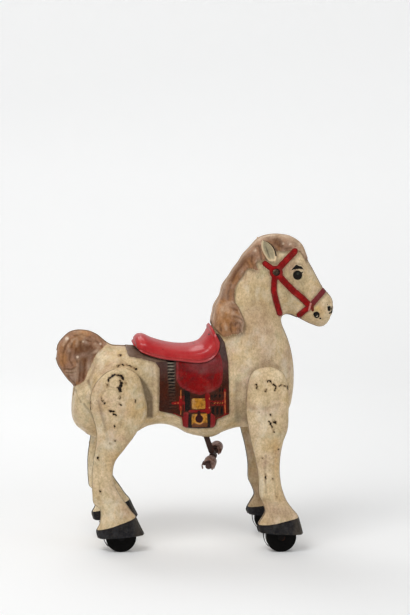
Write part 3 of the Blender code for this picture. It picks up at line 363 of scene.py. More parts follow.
def plus(first, second, clamp=False):
    """Adds two values of the group."""
    return maths(old_paint, "ADD", first, second, clamp)


def minus(first, second, clamp=False):
    """Takes one value of the group from another."""
    return maths(old_paint, "SUBTRACT", first, second, clamp)


def times(first, second, clamp=False):
    """Multiplies two values of the group."""
    return maths(old_paint, "MULTIPLY", first, second, clamp)


def speckle(scale, detail, rough=0.5, spot=place):
    """Gives noise of one size as a value from 0 to 1."""
    return add(old_paint, "TexNoise", {"Vector": spot, "Scale": scale, "Detail": detail,
                                       "Roughness": rough}).outputs["Fac"]


def grime(scale, stretch, low, high):
    """Gives clouds of one size, stretched, as a value from 0 to 1."""
    spot = add(old_paint, "Mapping", {"Vector": place, "Scale": stretch}).outputs["Vector"]
    noise = speckle(scale, 4.0, 0.65, spot)
    return maths(old_paint, "DIVIDE", minus(noise, low), high - low, clamp=True)


clouds = given.outputs["Clouds"]
warm = given.outputs["Color"]
for scale, stretch, low, high, tone in YELLOWING:
    amount = times(grime(scale, stretch, low, high), clouds)
    warm = add(old_paint, "Mix", {0: amount, 6: warm, 7: tone}, data_type="RGBA",
               blend_type="MULTIPLY").outputs[2]
# Here and there the coat is rubbed to a paler cream
bloom = grime(24.0, (1, 1, 0.7), 0.52, 0.72)
bright = add(old_paint, "RGBToBW", {"Color": given.outputs["Color"]}).outputs["Val"]
warm = lay_over(old_paint, warm, RUBBED_CREAM, times(bloom, times(bright, clouds)))
# The net of cracks
net = add(old_paint, "TexVoronoi", {"Vector": place, "Scale": 190.0},
          feature="DISTANCE_TO_EDGE").outputs["Distance"]
net = maths(old_paint, "LESS_THAN", net, 0.045)
cracked = lay_over(old_paint, warm, CRACK_BROWN, times(net, given.outputs["Cracks"]))
# Dirt specks gather in patches
patch = speckle(17.0, 3.0)
grain = plus(speckle(330.0, 2.0), times(patch, 0.35))
grain = times(minus(grain, 0.80), 7.0, clamp=True)
specked = lay_over(old_paint, cracked, SPECK_BROWN, times(grain, given.outputs["Specks"]))
# Dirt lies in the crevices of pale paint, and ridges are rubbed lighter and get a painted highlight
low = times(given.outputs["Crevice"], -1.0, clamp=True)
high = times(given.outputs["Crevice"], 1.0, clamp=True)
pale_enough = times(bright, 2.4, clamp=True)
sunk = lay_over(old_paint, specked, CREVICE_BROWN, times(times(low, pale_enough), 0.6))
rubbed_and_highlit = lay_over(old_paint, sunk, RIDGE_HIGHLIGHT_CREAM, times(high, times(bright, 0.14)))
# Chips down to the black primer
chip = plus(speckle(62.0, 6.0, 0.65), times(speckle(11.0, 1.0), 0.5))
limit = minus(1.12, times(given.outputs["Chips"], 0.16))
chip = times(minus(chip, limit), 30.0, clamp=True)
chipped = lay_over(old_paint, rubbed_and_highlit, PRIMER, chip)
height = minus(minus(times(bloom, 0.3), chip), times(net, 0.4))
rough = plus(times(bloom, 0.12), times(grain, 0.1))
for socket, label in ((chipped, "Color"), (rough, "Rough"), (height, "Height")):
    old_paint.links.new(socket, result.inputs[label])
print("old paint nodes:", len(old_paint.nodes))

# %% [markdown]
# ## The drawing that the stampings follow
#
# The maker's pattern is easiest to read as a side view, so every shape is drawn
# in the picture: across from the left and down from the top. A point of the skin
# finds its place in the drawing along the line of sight. Distances to the drawn
# lines then serve twice: as the relief of the sheet and as masks for the paint.

# %% Drawing tools
DOT = 2.42


def sighted(points):
    """Gives the place of each point in the picture."""
    away = points - EYE
    depth = away @ EYE_AHEAD
    across = PICTURE[0] / 2 + FOCAL_DOTS * (away @ EYE_RIGHT) / depth
    down = PICTURE[1] / 2 - FOCAL_DOTS * (away @ EYE_UP) / depth
    return np.stack((across, down), axis=-1)


def near_segments(spots, path, closed):
    """Gives the distance to a path, and the distance along it to the nearest place."""
    path = np.array(path, float)
    ends = np.roll(path, -1, axis=0) if closed else path[1:]
    starts = path if closed else path[:-1]
    nearest = np.full(spots.shape[:-1], 1e9)
    along = np.zeros(spots.shape[:-1])
    walked = 0.0
    for start, end in zip(starts, ends):
        step = end - start
        length = math.hypot(*step) or 1e-9
        share = np.clip(((spots - start) @ step) / length**2, 0, 1)
        gap = np.linalg.norm(spots - start - share[..., None] * step, axis=-1)
        closer = gap < nearest
        nearest = np.where(closer, gap, nearest)
        along = np.where(closer, walked + share * length, along)
        walked += length
    return nearest, along


def within(spots, outline):
    """Gives the distance in mm to a closed outline, positive inside."""
    gap, _ = near_segments(spots, outline, True)
    x, y = spots[..., 0], spots[..., 1]
    inside = np.zeros(x.shape, bool)
    for (ax, ay), (bx, by) in zip(outline, outline[1:] + outline[:1]):
        if ay == by:
            continue
        crossing = (ay > y) != (by > y)
        inside ^= crossing & (x < (bx - ax) * (y - ay) / (by - ay) + ax)
    return np.where(inside, gap, -gap) * DOT


def stroke(spots, path, width):
    """Gives the distance in mm to the edge of a brush stroke, positive on it."""
    gap, _ = near_segments(spots, path, False)
    return (width / 2 - gap) * DOT


def disc(spots, centre, radius, squash=1.0):
    """Gives the distance in mm to a disc's edge, positive inside. Squash makes it taller."""
    away = np.hypot(spots[..., 0] - centre[0], (spots[..., 1] - centre[1]) / squash)
    return (radius - away) * DOT


def ring(spots, centre, radius, width):
    """Gives the distance in mm to the edge of a drawn ring, positive on it."""
    away = np.hypot(spots[..., 0] - centre[0], spots[..., 1] - centre[1])
    return (width / 2 - np.abs(away - radius)) * DOT


def ramp(distance, over):
    """Rises smoothly from 0 to 1 while the distance goes from 0 to over."""
    share = np.clip(distance / over, 0, 1)
    return share * share * (3 - 2 * share)


def swell(distance, over):
    """Gives a soft bump that is 1 where the distance is 0."""
    return np.exp(-((distance / over) ** 2))


def strokes(spots, paths):
    """Gives the distance in mm to the nearest of several strokes, each a path and a width."""
    return np.maximum.reduce([stroke(spots, *one) for one in paths])


def tone(spots, discs=(), paths=()):
    """Gives the strongest of several soft patches, from 0 to 1.

    A disc has a strength, centre, radius, squash and fade, and a path a strength, points and reach.
    """
    patches = [strength * ramp(disc(spots, centre, radius, squash), fade)
               for strength, centre, radius, squash, fade in discs]
    patches += [strength * swell(stroke(spots, points, 0), reach)
                for strength, points, reach in paths]
    return np.maximum.reduce(patches)


def along_pairs(at, pairs):
    """Reads a line that is given by (place, value) pairs."""
    return np.interp(at, [pair[0] for pair in pairs], [pair[1] for pair in pairs])


print("one dot of the picture is", DOT, "mm")

# %% [markdown]
# ## Smooth skins from a few sections
#
# The pressed halves have no straight line in them, so extruding a primitive
# can't give their shape. They are lofted instead: a few measured sections go
# from tail to nose, a smooth curve runs through them, and each section bulges
# out from the seam. Many close rows leave room for fine relief.

# %% Loft helpers
SHEET = 1.2 * MM
SEAM_GAP = 0.15 * MM
SKIN = SHEET + SEAM_GAP


def smooth_rows(stations, count):
    """Runs a smooth curve through the stations and cuts it in even steps."""
    rows = np.array(stations, float)
    steps = (np.linalg.norm(np.diff(rows[:, 0:2], axis=0), axis=1)
             + np.linalg.norm(np.diff(rows[:, 2:4], axis=0), axis=1)) / 2
    place = np.concatenate(((0,), np.cumsum(np.maximum(steps, 1e-6))))
    slopes = np.diff(rows, axis=0) / np.diff(place)[:, None]
    tangents = np.empty_like(rows)
    tangents[0], tangents[-1] = slopes[0], slopes[-1]
    gaps = np.diff(place)[:, None]
    tangents[1:-1] = (slopes[:-1] * gaps[1:] + slopes[1:] * gaps[:-1]) / (gaps[1:] + gaps[:-1])
    spots = np.linspace(0, place[-1], count)
    cell = np.clip(np.searchsorted(place, spots, side="right") - 1, 0, len(rows) - 2)
    width = (place[cell + 1] - place[cell])[:, None]
    t = (spots - place[cell])[:, None] / width
    return ((2 * t**3 - 3 * t**2 + 1) * rows[cell] + (t**3 - 2 * t**2 + t) * width * tangents[cell]
            + (3 * t**2 - 2 * t**3) * rows[cell + 1] + (t**3 - t**2) * width * tangents[cell + 1])


def bulge(share, top_power, low_power):
    """Gives how far a section stands out at a share of its height, from 0 to 1."""
    power = top_power + (low_power - top_power) * share
    return (1 - np.minimum(np.abs(2 * share - 1), 1) ** power) ** (1 / power)


def even_shares(count):
    """Gives shares of the height that lie close together near the seam."""
    return 0.5 - 0.5 * np.cos(np.linspace(0, math.pi, count))


def outward(grid, facing=-1):
    """Gives the direction that points away from the seam at every point of a grid."""
    down = np.gradient(grid, axis=0)
    across = np.gradient(grid, axis=1)
    normal = np.cross(down, across)
    length = np.linalg.norm(normal, axis=-1, keepdims=True)
    normal = normal / np.maximum(length, 1e-12)
    flip = np.where(normal[..., 1] * facing < 0, -1.0, 1.0)
    return normal * flip[..., None]


def blurred(values, reach):
    """Averages a grid of values over a square of neighbours."""
    for axis in (0, 1):
        total = np.zeros_like(values)
        for shift in range(-reach, reach + 1):
            index = np.clip(np.arange(values.shape[axis]) + shift, 0, values.shape[axis] - 1)
            total += np.take(values, index, axis=axis)
        values = total / (2 * reach + 1)
    return values


def skin_object(name, grid, layers, side, holes=(), thick=SHEET, facing=-1, axis=1):
    """Makes the mesh of one pressed half from its grid, with a value layer for each mask.

    The grid is that of the right side. It bulges along the axis, up it where facing is 1.
    """
    rows, columns = grid.shape[:2]
    points = grid.reshape(-1, 3).copy()
    if side == LEFT:
        points[:, 1] *= -1
    index = np.arange(rows * columns).reshape(rows, columns)
    quads = np.stack((index[:-1, :-1], index[1:, :-1], index[1:, 1:], index[:-1, 1:]), axis=-1)
    quads = quads.reshape(-1, 4)
    middle = points[quads].mean(axis=1)
    keep = np.ones(len(quads), bool)
    for x, z, radius in holes:
        keep &= np.hypot(middle[:, 0] - x, middle[:, 2] - z) > radius
    quads = quads[keep]
    sample = points[quads]
    turn = np.cross(sample[:, 2] - sample[:, 0], sample[:, 3] - sample[:, 1])[:, axis].sum()
    if (turn > 0) != (facing * side < 0):
        quads = quads[:, ::-1]
    mesh = bpy.data.meshes.new(name)
    mesh.from_pydata([tuple(p) for p in points], [], [tuple(q) for q in quads])
    for label, values in layers.items():
        layer = mesh.attributes.new(label, "FLOAT", "POINT")
        layer.data.foreach_set("value", np.ascontiguousarray(values, np.float32).ravel())
    item = bpy.data.objects.new(name, mesh)
    scene.collection.objects.link(item)
    picked_alone(item)
    solid = item.modifiers.new("sheet", "SOLIDIFY")
    solid.thickness = thick
    solid.offset = -1
    bpy.ops.object.modifier_apply(modifier="sheet")
    bpy.ops.object.shade_smooth_by_angle(angle=math.radians(48))
    return item


print("skin lies", SKIN / MM, "mm outside the seam plane")

# %% [markdown]
# ## The body's sections
#
# Each row gives the top and the bottom of one section, in millimetres along and
# above the floor, then its half width and how boxy it is. The rows fan out from
# the tail, over the rump, along the belly, up the neck and down to the nose.

# %% Body sections
BODY = (
    (-333, 470, -334.4, 452, 0, 2.2), (-330, 484, -330, 438, 14, 2.2),
    (-319, 500, -320, 421, 20, 2.2), (-303, 514, -306, 402, 30, 2.3),
    (-286, 519, -290, 383, 44, 2.3), (-271, 519, -292, 357, 58, 2.3),
    (-258, 517, -295, 330, 68, 2.3), (-247, 513, -293, 307, 75, 2.4),
    (-236, 507, -285, 291, 79, 2.4), (-225, 498, -271, 279, 81, 2.5),
    (-213, 489, -250, 265, 82, 2.6), (-201, 484, -225, 255, 82, 2.6),
    (-185, 483, -200, 253, 82, 2.7), (-165, 482, -172, 259, 82, 2.8),
    (-140, 480, -143, 272, 82, 2.9), (-110, 476, -113, 289, 82, 2.9),
    (-75, 473, -77, 295, 83, 2.9), (-40, 472, -42, 287, 84, 2.9),
    (-8, 474, -12, 272, 84, 2.9), (18, 480, 20, 265, 84, 2.9),
    (34, 490, 47, 265, 83, 2.8), (41, 504, 74, 277, 82, 2.7),
    (41, 520, 102, 286, 82, 2.6), (40, 534, 133, 289, 82, 2.5),
    (40, 545, 166, 292, 81, 2.5), (41, 556, 198, 299, 80, 2.5),
    (43, 568, 222, 315, 79, 2.4), (45, 581, 236, 340, 77, 2.4),
    (51, 595, 242, 374, 73, 2.4), (57, 608, 243, 413, 67, 2.3),
    (62, 624, 239, 453, 61, 2.3), (67, 640, 231, 487, 55, 2.3),
    (77, 656, 220, 516, 49, 2.3), (88, 672, 210, 538, 44, 2.3),
    (107, 703, 207, 553, 40, 2.4), (129, 731, 211, 563, 38, 2.4),
    (149, 751, 220, 567, 37, 2.5), (174, 759, 229, 566, 37, 2.5),
    (201, 760, 238, 563, 37, 2.5), (227, 755, 246, 560, 37, 2.5),
    (249, 740, 254, 557, 36, 2.5), (260, 718, 263, 553, 34, 2.5),
    (268, 697, 271, 549, 32, 2.5), (280, 677, 280, 545, 30, 2.4),
    (292, 656, 289, 542, 28, 2.4), (304, 636, 297, 539, 27, 2.4),
    (318, 620, 306, 538, 27, 2.4), (330, 605, 315, 541, 25, 2.4),
    (334, 588, 323, 549, 18, 2.3), (334, 577, 328, 558, 0, 2.2),
)
TAIL_EDGE = (
    (340, -420), (375, -335), (386, -292), (401, -264), (418, -254), (437, -248),
    (457, -241), (471, -234), (484, -227), (497, -219), (530, -200),
)
SHOULDER, HIP = (157, 383), (-203, 387)
HALF_WIDTH, TAIL_HALF_WIDTH, RUMP_RISE = 84, 23, 62
PAD_RADIUS, PAD_BLEND, BELLY_POWER = 68, 34, 2.3
BODY_ROWS, BODY_COLUMNS = 400, 92
print("sections:", len(BODY))

# %% [markdown]
# ## The bare body
#
# Tail and rump come from the same sections, but the tail is much thinner. So the
# body widens ahead of the line where the tail ends. Two flat round pads then
# carry the shafts of the legs.

# %% Bare body
rows = smooth_rows(BODY, BODY_ROWS)
share = even_shares(BODY_COLUMNS)[None, :]
x = rows[:, 0:1] + (rows[:, 2:3] - rows[:, 0:1]) * share
z = rows[:, 1:2] + (rows[:, 3:4] - rows[:, 1:2]) * share
width = np.maximum(rows[:, 4:5], 0)
power = np.clip(rows[:, 5:6], 2, 3.2)
edge = bulge(share, power, np.minimum(power, BELLY_POWER))
rise = np.clip((x - along_pairs(z, TAIL_EDGE)) / RUMP_RISE, 0, 1)
rise = np.sqrt(1 - (1 - rise) ** 2)
tail_half = np.minimum(TAIL_HALF_WIDTH, width)
depth = edge * (tail_half + (width - tail_half) * rise)
for pivot_x, pivot_z in (SHOULDER, HIP):
    pad = ramp(PAD_RADIUS - np.hypot(x - pivot_x, z - pivot_z), PAD_BLEND)
    depth = depth + (HALF_WIDTH - depth) * pad
body_base = np.stack((x * MM, -(depth * MM + SKIN), z * MM), axis=-1)
body_out = outward(body_base)
print("body grid:", body_base.shape[:2])

# %% [markdown]
# ## Hair, harness and saddle cloth
#
# The drawing gives each painted shape as an outline or a stroke. Cloth, harness
# and hair are pressed into the same sheet as the body, so nothing is laid on it.

# %% Shapes of the body
spots = sighted(body_base)
picture_x, picture_y = spots[..., 0], spots[..., 1]
MANE = [
    (304, 259), (302.7, 255.4), (300, 251.8), (294.6, 249.8), (289.3, 250.9), (283, 251.8),
    (277.7, 250.9), (272, 250), (268, 255), (265, 260), (262.5, 261), (258, 260.7),
    (255.8, 264.3), (257, 268), (260.7, 269.5), (257, 270.5), (253.6, 269.2), (248.7, 268),
    (245.5, 271.4), (242, 276.8), (237.5, 283), (234.8, 289.3), (234.4, 296.4),
    (234.8, 302.7), (238.4, 307.1), (241, 313.4), (243.8, 319.6), (244.6, 325),
    (242.9, 331.3), (238.4, 334.4), (233, 333.9), (228.6, 336.4), (224.1, 337.2),
    (220.5, 334.8), (214.7, 328.6), (212.5, 323.2), (204, 322), (200, 220), (320, 215),
    (318, 262),
]
MANE_LINE = [(300, 250), (289, 243), (274, 240), (259, 246), (248, 257), (239, 270), (232, 284),
             (227, 298), (223, 310), (221, 322), (225, 334)]
TAIL = [
    (75.6, 385.8), (79.5, 384.6), (84.5, 380.6), (87.5, 373.5), (90.5, 366.5), (93.5, 359.5),
    (97, 353.5), (101.5, 349), (106.3, 344.5), (107, 336), (100, 322), (70, 318), (45, 335),
    (45, 372), (68, 392),
]
BLANKET = [
    (127, 341.8), (133.6, 338.6), (150, 336), (200, 330), (219, 334), (224.5, 341.8),
    (228.1, 360), (228.9, 380.6), (229.4, 413.9), (216.8, 419.4), (216, 424.6), (213.4, 427.6),
    (199, 428.4), (185.7, 427.8), (182.9, 425.4), (182, 417.4), (176, 414.7), (159, 411),
    (159.4, 390), (159.6, 368.5), (155.4, 362.4), (142, 358.8), (128.8, 356.4), (125.6, 347),
]
REAR_FLAP = [(127, 341.8), (133.6, 338.6), (142, 336), (166, 340), (166, 362), (155.4, 362.4),
             (142, 358.8), (128.8, 356.4), (125.6, 347)]
FLAP = [
    (176.4, 358), (176.2, 366), (176, 373), (176.6, 380), (180.2, 386.4), (187, 390.4),
    (194, 393.2), (200.5, 394.8), (207, 393), (213.6, 390.4), (219.4, 387), (222, 382),
    (223, 373), (221.8, 360), (219, 350), (180, 350),
]
GIRTH = [(186.3, 414.2), (212.8, 413.4), (213.4, 424.4), (209, 427.2), (190, 427.4),
         (185.4, 424.6)]
YELLOW_TOP = [(191.6, 398.4), (205, 398), (205.2, 408.8), (191.8, 409)]
YELLOW_LOW = [(191.6, 413.6), (207, 413.2), (207.2, 424.2), (191.8, 424.6)]
STRAPS = (
    ([(276, 271.6), (284.4, 262.2), (294.4, 251.7)], 6.6),
    ([(276, 271.6), (270, 267.2), (265, 263.6)], 6.0),
    ([(277, 273.6), (285, 282.4), (293.8, 291.1), (301.5, 297.5), (307.3, 303.4)], 6.6),
    ([(274.6, 276), (273.8, 284), (273.7, 291.1), (275.9, 301), (279.7, 313.4)], 5.8),
    ([(309.4, 307), (304.6, 310.4), (299.4, 315)], 5.8),
)
body_mm = {
    "mane": within(spots, MANE),
    "tail": within(spots, TAIL),
    "blanket": within(spots, BLANKET),
    "rear_flap": within(spots, REAR_FLAP),
    "flap": within(spots, FLAP),
    "girth": within(spots, GIRTH),
    "yellow": np.maximum(within(spots, YELLOW_TOP), within(spots, YELLOW_LOW)),
    "strap": np.maximum(strokes(spots, STRAPS), disc(spots, (276.2, 272.3), 6.8)),
    "noseband": stroke(spots, [(325, 289), (319, 296), (312.3, 303.8)], 5.4),
}
print({name: round(float(values.max()), 1) for name, values in body_mm.items()})

# %% [markdown]
# ## Furrows and locks
#
# The die cutter carved the hair by hand, with deep furrows between the locks and
# some locks that stand out and are worn pale. A few short pale strokes among them
# are painted highlights. Each is one stroke: its points in the picture and its
# width in dots.

# %% Furrows and locks
HAIR_FURROWS = (
    ([(268, 238.5), (272, 238.6), (276.5, 240.8)], 1.8),
    ([(275, 237.8), (279, 240.5), (281, 243.6)], 2.2), ([(275.5, 243.2), (279.4, 246)], 1.8),
    ([(281.2, 246.4), (282.2, 247)], 1.8), ([(253, 247.2), (258, 246.2), (262, 246.4)], 0.9),
    ([(259.8, 248.4), (260.6, 253), (261.4, 258.6)], 1.6),
    ([(284, 249), (290, 248), (295, 250)], 1.2), ([(294, 243), (296.6, 247), (301, 254)], 1.2),
    ([(266, 243), (272, 245.6), (276, 249.6)], 1.1), ([(250, 250), (243, 258), (237.6, 266)], 1.0),
    ([(243.6, 264), (238, 272), (232.6, 281)], 1.2), ([(236, 264), (231, 272), (226.6, 282)], 1.0),
    ([(246.6, 262), (249, 266)], 1.0), ([(252.6, 256), (251.6, 262), (254, 267)], 1.0),
    ([(227, 284), (224.4, 291), (222.6, 300)], 1.0),
    ([(231.6, 285), (229.4, 293), (228.4, 300)], 0.9),
    ([(221.3, 303.3), (223.5, 305.5), (233, 308.8), (237.4, 310.5)], 1.4),
    ([(224, 315), (232, 316.6), (238.5, 317.2), (243, 321.6), (243.5, 327), (238.5, 332.7)], 1.2),
    ([(234.6, 326), (236, 323.4), (239, 323), (240.6, 326), (239.4, 329.4), (236.6, 329.6)], 1.0),
    ([(221.3, 321), (220.8, 326), (221.8, 331)], 1.3),
    ([(231.3, 322), (230.6, 327), (231.6, 331.6)], 1.3),
    ([(226.4, 308), (224, 314), (225.6, 320)], 1.1),
    ([(217.6, 306), (216.4, 313), (217, 320)], 1.0),
    ([(230.6, 312), (229.6, 318), (226.6, 324)], 1.0),
    ([(80.2, 342.1), (81, 350.6), (88.3, 353.6), (94.7, 349.4)], 1.7),
    ([(87.5, 353.2), (93.9, 354.9), (99, 353.2)], 1.2),
    ([(64.4, 369), (72.1, 369.4), (75.9, 366.9)], 1.6), ([(66, 372.4), (74.2, 373)], 1.1),
    ([(63.5, 352), (62.5, 361), (65, 367)], 1.4), ([(69.5, 340), (65.5, 346), (63.6, 353)], 1.5),
    ([(74, 335.5), (82, 334.6), (90, 337)], 1.0), ([(70.4, 352), (69.5, 360), (72.6, 365)], 1.5),
    ([(76, 348), (75, 356), (77.6, 363)], 1.4), ([(96, 341), (101, 344.6), (103, 347.6)], 1.0),
    ([(80.4, 361), (80, 372), (79, 381)], 1.6), ([(85.2, 359), (84.6, 369), (83.4, 378)], 1.5),
    ([(72, 343.6), (71.4, 347.6)], 1.7), ([(90.4, 346), (92, 348)], 1.8),
    ([(86, 340), (91, 341.6)], 1.3), ([(84, 345.6), (87.6, 348.6), (91, 345)], 1.2),
    ([(68, 376), (72, 380), (75.4, 384)], 1.2),
)
# Worn pale locks, and a few short strokes of painted highlight on the hair
PALE_LOCKS_AND_HIGHLIGHTS = (
    ([(67.4, 338.6), (63.6, 345)], 2.2), ([(77, 339), (76.6, 346)], 2.2),
    ([(66, 370.7), (71.2, 371.4), (75.9, 369.4)], 1.6),
    ([(98, 350.4), (90, 353), (82, 355), (77.6, 358.3)], 3.4), ([(89.8, 359), (89, 371)], 3.0),
    ([(83.6, 341.4), (88, 343.4)], 1.8), ([(95, 344), (99, 348)], 2.0),
    ([(303, 254), (297, 244), (288, 237.6), (277, 234.8), (266, 236.2), (256, 241), (246.4, 250),
      (236.6, 262), (228.6, 275), (222.6, 289), (216, 302), (213.6, 318)], 2.4),
    ([(226.9, 303.3), (234, 302.2)], 1.6), ([(70.2, 344.5), (73, 339.4), (77.1, 338)], 1.2),
    ([(65.6, 373.4), (75.7, 373.4)], 1.0), ([(68.8, 344), (67.9, 348.2), (69.7, 351.4)], 1.2),
    ([(75.7, 368.4), (77.5, 363.3)], 1.1), ([(255.2, 250.4), (256.4, 251.6)], 2.4),
    ([(282.2, 243.4), (283, 244)], 1.8), ([(288.4, 243.6), (290, 245)], 2.4),
    ([(298, 244), (299, 245.6)], 2.6), ([(245, 255), (246.4, 255.6)], 1.6),
    ([(262, 243.6), (270, 239), (282, 236.6)], 1.6), ([(292, 240), (299, 244.4), (303, 251)], 1.4),
    ([(224, 311), (233, 313), (240, 317.6)], 1.8), ([(225.6, 324), (227, 330)], 2.2),
    ([(235.4, 320), (241, 321.4)], 1.6), ([(256.6, 262), (259.6, 260.6), (261, 263)], 1.6),
)
furrow = strokes(spots, HAIR_FURROWS)
pale_lock_and_highlight = strokes(spots, PALE_LOCKS_AND_HIGHLIGHTS)
print("furrows:", len(HAIR_FURROWS), "pale locks:", len(PALE_LOCKS_AND_HIGHLIGHTS))

# %% [markdown]
# ## Strands
#
# Between the furrows the hair is only waved. The mane's strands run along a line
# from forelock to withers, so the distance across that line makes the ridges and
# the distance along it makes them wander. The tail's strands turn round a centre.

# %% Strands
TAIL_CENTRE = (86, 352)
STRAND_WIDTH = 6.4

gap, along = near_segments(spots, MANE_LINE, False)
across = gap * np.sign((picture_x - 232) * 0.86 + (picture_y - 284) * 0.5)
from_centre_x, from_centre_y = picture_x - TAIL_CENTRE[0], picture_y - TAIL_CENTRE[1]
tail_away = np.hypot(from_centre_x, from_centre_y)
tail_turn = np.arctan2(from_centre_y, from_centre_x)
on_tail = body_mm["tail"] > -3
# Strands keep their width, wander, and fade in and out along the hair
flow = np.where(on_tail, tail_away + 1.6 * np.sin(2 * tail_turn + 0.4), across)
length = np.where(on_tail, tail_turn * 16, along)
phase = flow / STRAND_WIDTH + 0.30 * np.sin(length / 3.9 + 1)
phase = phase + 0.16 * np.sin(length / 1.9 + flow * 0.4)
strand = 0.5 + 0.5 * np.sin(2 * math.pi * phase)
strength = 0.55 + 0.45 * np.sin(length / 5.3 + flow * 0.7)
strand = 0.5 + (strand - 0.5) * strength
sunk_in = np.where(on_tail, 0.34, 0.5) * ramp(furrow + 1.6, 3.2)
lock = np.clip(0.48 + 0.14 * strand - sunk_in + 0.4 * ramp(pale_lock_and_highlight + 1.4, 3.4), 0, 1)
print("lock range:", round(float(lock.min()), 2), round(float(lock.max()), 2))

# %% [markdown]
# ## Mounds and tones of the hair
#
# The main locks stand on soft mounds of the sheet, the same that the solid has.
# The painter also shaded the hair by region: brown in the hollows, mauve and
# orange between them, pale along the crest. A few small glints are painted
# highlights.


# %% Mounds and tones of the hair
def mounds(places):
    """Gives the soft mounds that the main locks stand on, from (x, z, reach, height) in mm."""
    height = 0
    for near_x, near_z, reach, rise in places:
        share_of = np.clip(1 - np.hypot(x - near_x, z - near_z) / reach, 0, 1)
        height = height + rise * share_of**2 * (3 - 2 * share_of)
    return height


LOCKS = (
    (216, 741, 21, 3.2), (118, 706, 20, 3.2), (93, 670, 22, 3.2), (73, 625, 21, 3.2),
    (60, 578, 20, 3.2), (98, 549, 19, 3.2), (66, 535, 17, 3.0),
    (-276, 490, 20, 2.6), (-248, 468, 18, 2.6), (-296, 440, 20, 2.6), (-309, 474, 16, 2.6),
)
CREST = [
    (303, 254), (297, 243), (288, 237), (277, 234), (266, 235.4), (256, 240), (246, 249),
    (236, 260.6), (228, 273), (222, 287), (216, 300), (213, 318),
]
# Painted highlights on the hair: across and down in the picture, and radius, in dots
HAIR_HIGHLIGHTS = (
    (255.5, 250.7, 1.4), (245, 255, 1.1), (282.8, 244.2, 1.2), (289.7, 245, 1.3),
    (298.4, 244.2, 1.6), (67, 338.5, 2.2), (100.5, 344, 1.5), (83, 341.7, 1.1), (77.5, 356.9, 1.6),
)
# Each tone has its discs and its paths, as the helper for soft patches takes them
HAIR_TONES = {
    "hair_brown": (
        ((1, (84, 352), 15, 1, 22), (0.5, (235, 322), 6, 1, 12)),
        ((1, [(249, 256), (242, 264), (235, 273), (229, 284)], 9),
         (0.9, [(83, 360), (82.6, 378)], 9), (0.7, [(268, 239), (279, 243), (281, 247)], 8)),
    ),
    "hair_mauve": (
        ((1, (225.5, 293), 8, 1.3, 14), (0.9, (290, 243), 13, 0.7, 16), (0.6, (72, 378), 8, 1, 14)),
        ((0.9, [(75, 357), (84, 355), (90, 356), (89, 370)], 7),),
    ),
    "hair_orange": (
        ((1, (224, 314), 12, 1.4, 18), (0.7, (64, 358), 6, 1.6, 12),
         (0.6, (84, 333.6), 9, 0.5, 9), (0.6, (301, 253), 5, 1, 8)),
        (),
    ),
    "hair_pale": ((), ((1, CREST, 10), (0.7, [(240, 311), (244, 320), (242, 331)], 4))),
    "hair_highlight": ([(1, (glint_x, glint_y), radius, 1, 2.4) for glint_x, glint_y, radius in HAIR_HIGHLIGHTS],
                   ()),
}
hair_on = ramp(np.maximum(body_mm["mane"], body_mm["tail"]) + 1, 3.0)
hair_tones = {name: hair_on * tone(spots, *patches) for name, patches in HAIR_TONES.items()}
mane_on = ramp(body_mm["mane"], 3.0)
tail_on = ramp(body_mm["tail"], 2.0)
print("tones of the hair:", list(hair_tones))

# %% [markdown]
# ## Trim of the cloth
#
# The cloth's trim is a dark strip with pale rungs, red bands with gold lines, and
# a girth with a loop. It was pressed as shallow steps and then painted in them,
# so the same strokes are kept for both.

# %% Trim of the cloth
LADDER = [(164.6, 361), (175.2, 361), (176, 384), (176.4, 409), (166.6, 409)]
FRONT_LADDERS = (
    [(211.8, 390.6), (223.4, 386), (223.6, 399), (211.8, 399)],
    [(211.8, 406.6), (223.4, 406.6), (223.4, 413.6), (211.8, 416)],
)
RUNG_STEP, FRONT_RUNG_STEP = 3.08, 3.1

ladder = ramp(within(spots, LADDER), 1.6)
rungs = ramp(0.5 + np.cos((picture_y - 362) * 2 * math.pi / RUNG_STEP), 1.0)
rung_width = ramp(3.9 - np.abs(picture_x - 170.6 - 0.05 * (picture_y - 366)), 1.4)
front_ladder = np.maximum.reduce([ramp(within(spots, part), 0.8) for part in FRONT_LADDERS])
front_rungs = 0.5 + 0.5 * np.cos((picture_x - 212) * 2 * math.pi / FRONT_RUNG_STEP
                                 + (picture_y - 390) * 0.8)
BANDS = (
    ([(172.8, 402.9), (183.8, 402.7)], 2.6), ([(180.7, 397), (180.7, 409)], 3.4),
    ([(207.4, 395), (207.6, 411)], 5.0), ([(211, 401.2), (223.6, 401)], 1.6),
    ([(211, 404.6), (223.6, 404.6)], 1.6), ([(189.6, 411), (209.8, 410.6)], 2.6),
    ([(224.8, 389.5), (224.9, 414.4)], 2.4), ([(174, 413.2), (182.5, 417), (183.4, 426)], 1.4),
    ([(216, 418.6), (229, 413)], 1.4), ([(184, 396), (184.4, 411)], 1.0),
)
GOLD_LINES = (
    ([(180.7, 389.4), (180.7, 398)], 1.0), ([(180.7, 406), (180.7, 414)], 1.0),
    ([(212, 402.8), (223, 402.7)], 1.2), ([(224.8, 391), (224.9, 413)], 0.9),
    ([(174.4, 402.9), (178.6, 402.8)], 0.9), ([(209.4, 398.2), (209.6, 399)], 1.5),
    ([(209.4, 407.2), (209.6, 408)], 1.5),
)
CLOTH_HOLES = (
    ([(215.2, 395.5), (215.2, 396.4)], 2.2), ([(219.8, 395.2), (219.8, 396.2)], 2.2),
    ([(219.4, 391), (219.8, 389.6)], 1.6), ([(222.4, 390.6), (222.8, 389)], 1.6),
    ([(211.6, 396), (211.8, 397)], 1.4), ([(213, 408.4), (213, 413.4)], 2.6),
    ([(217.2, 408), (217.2, 413)], 2.4), ([(221.6, 408), (221.6, 412.4)], 2.0),
)
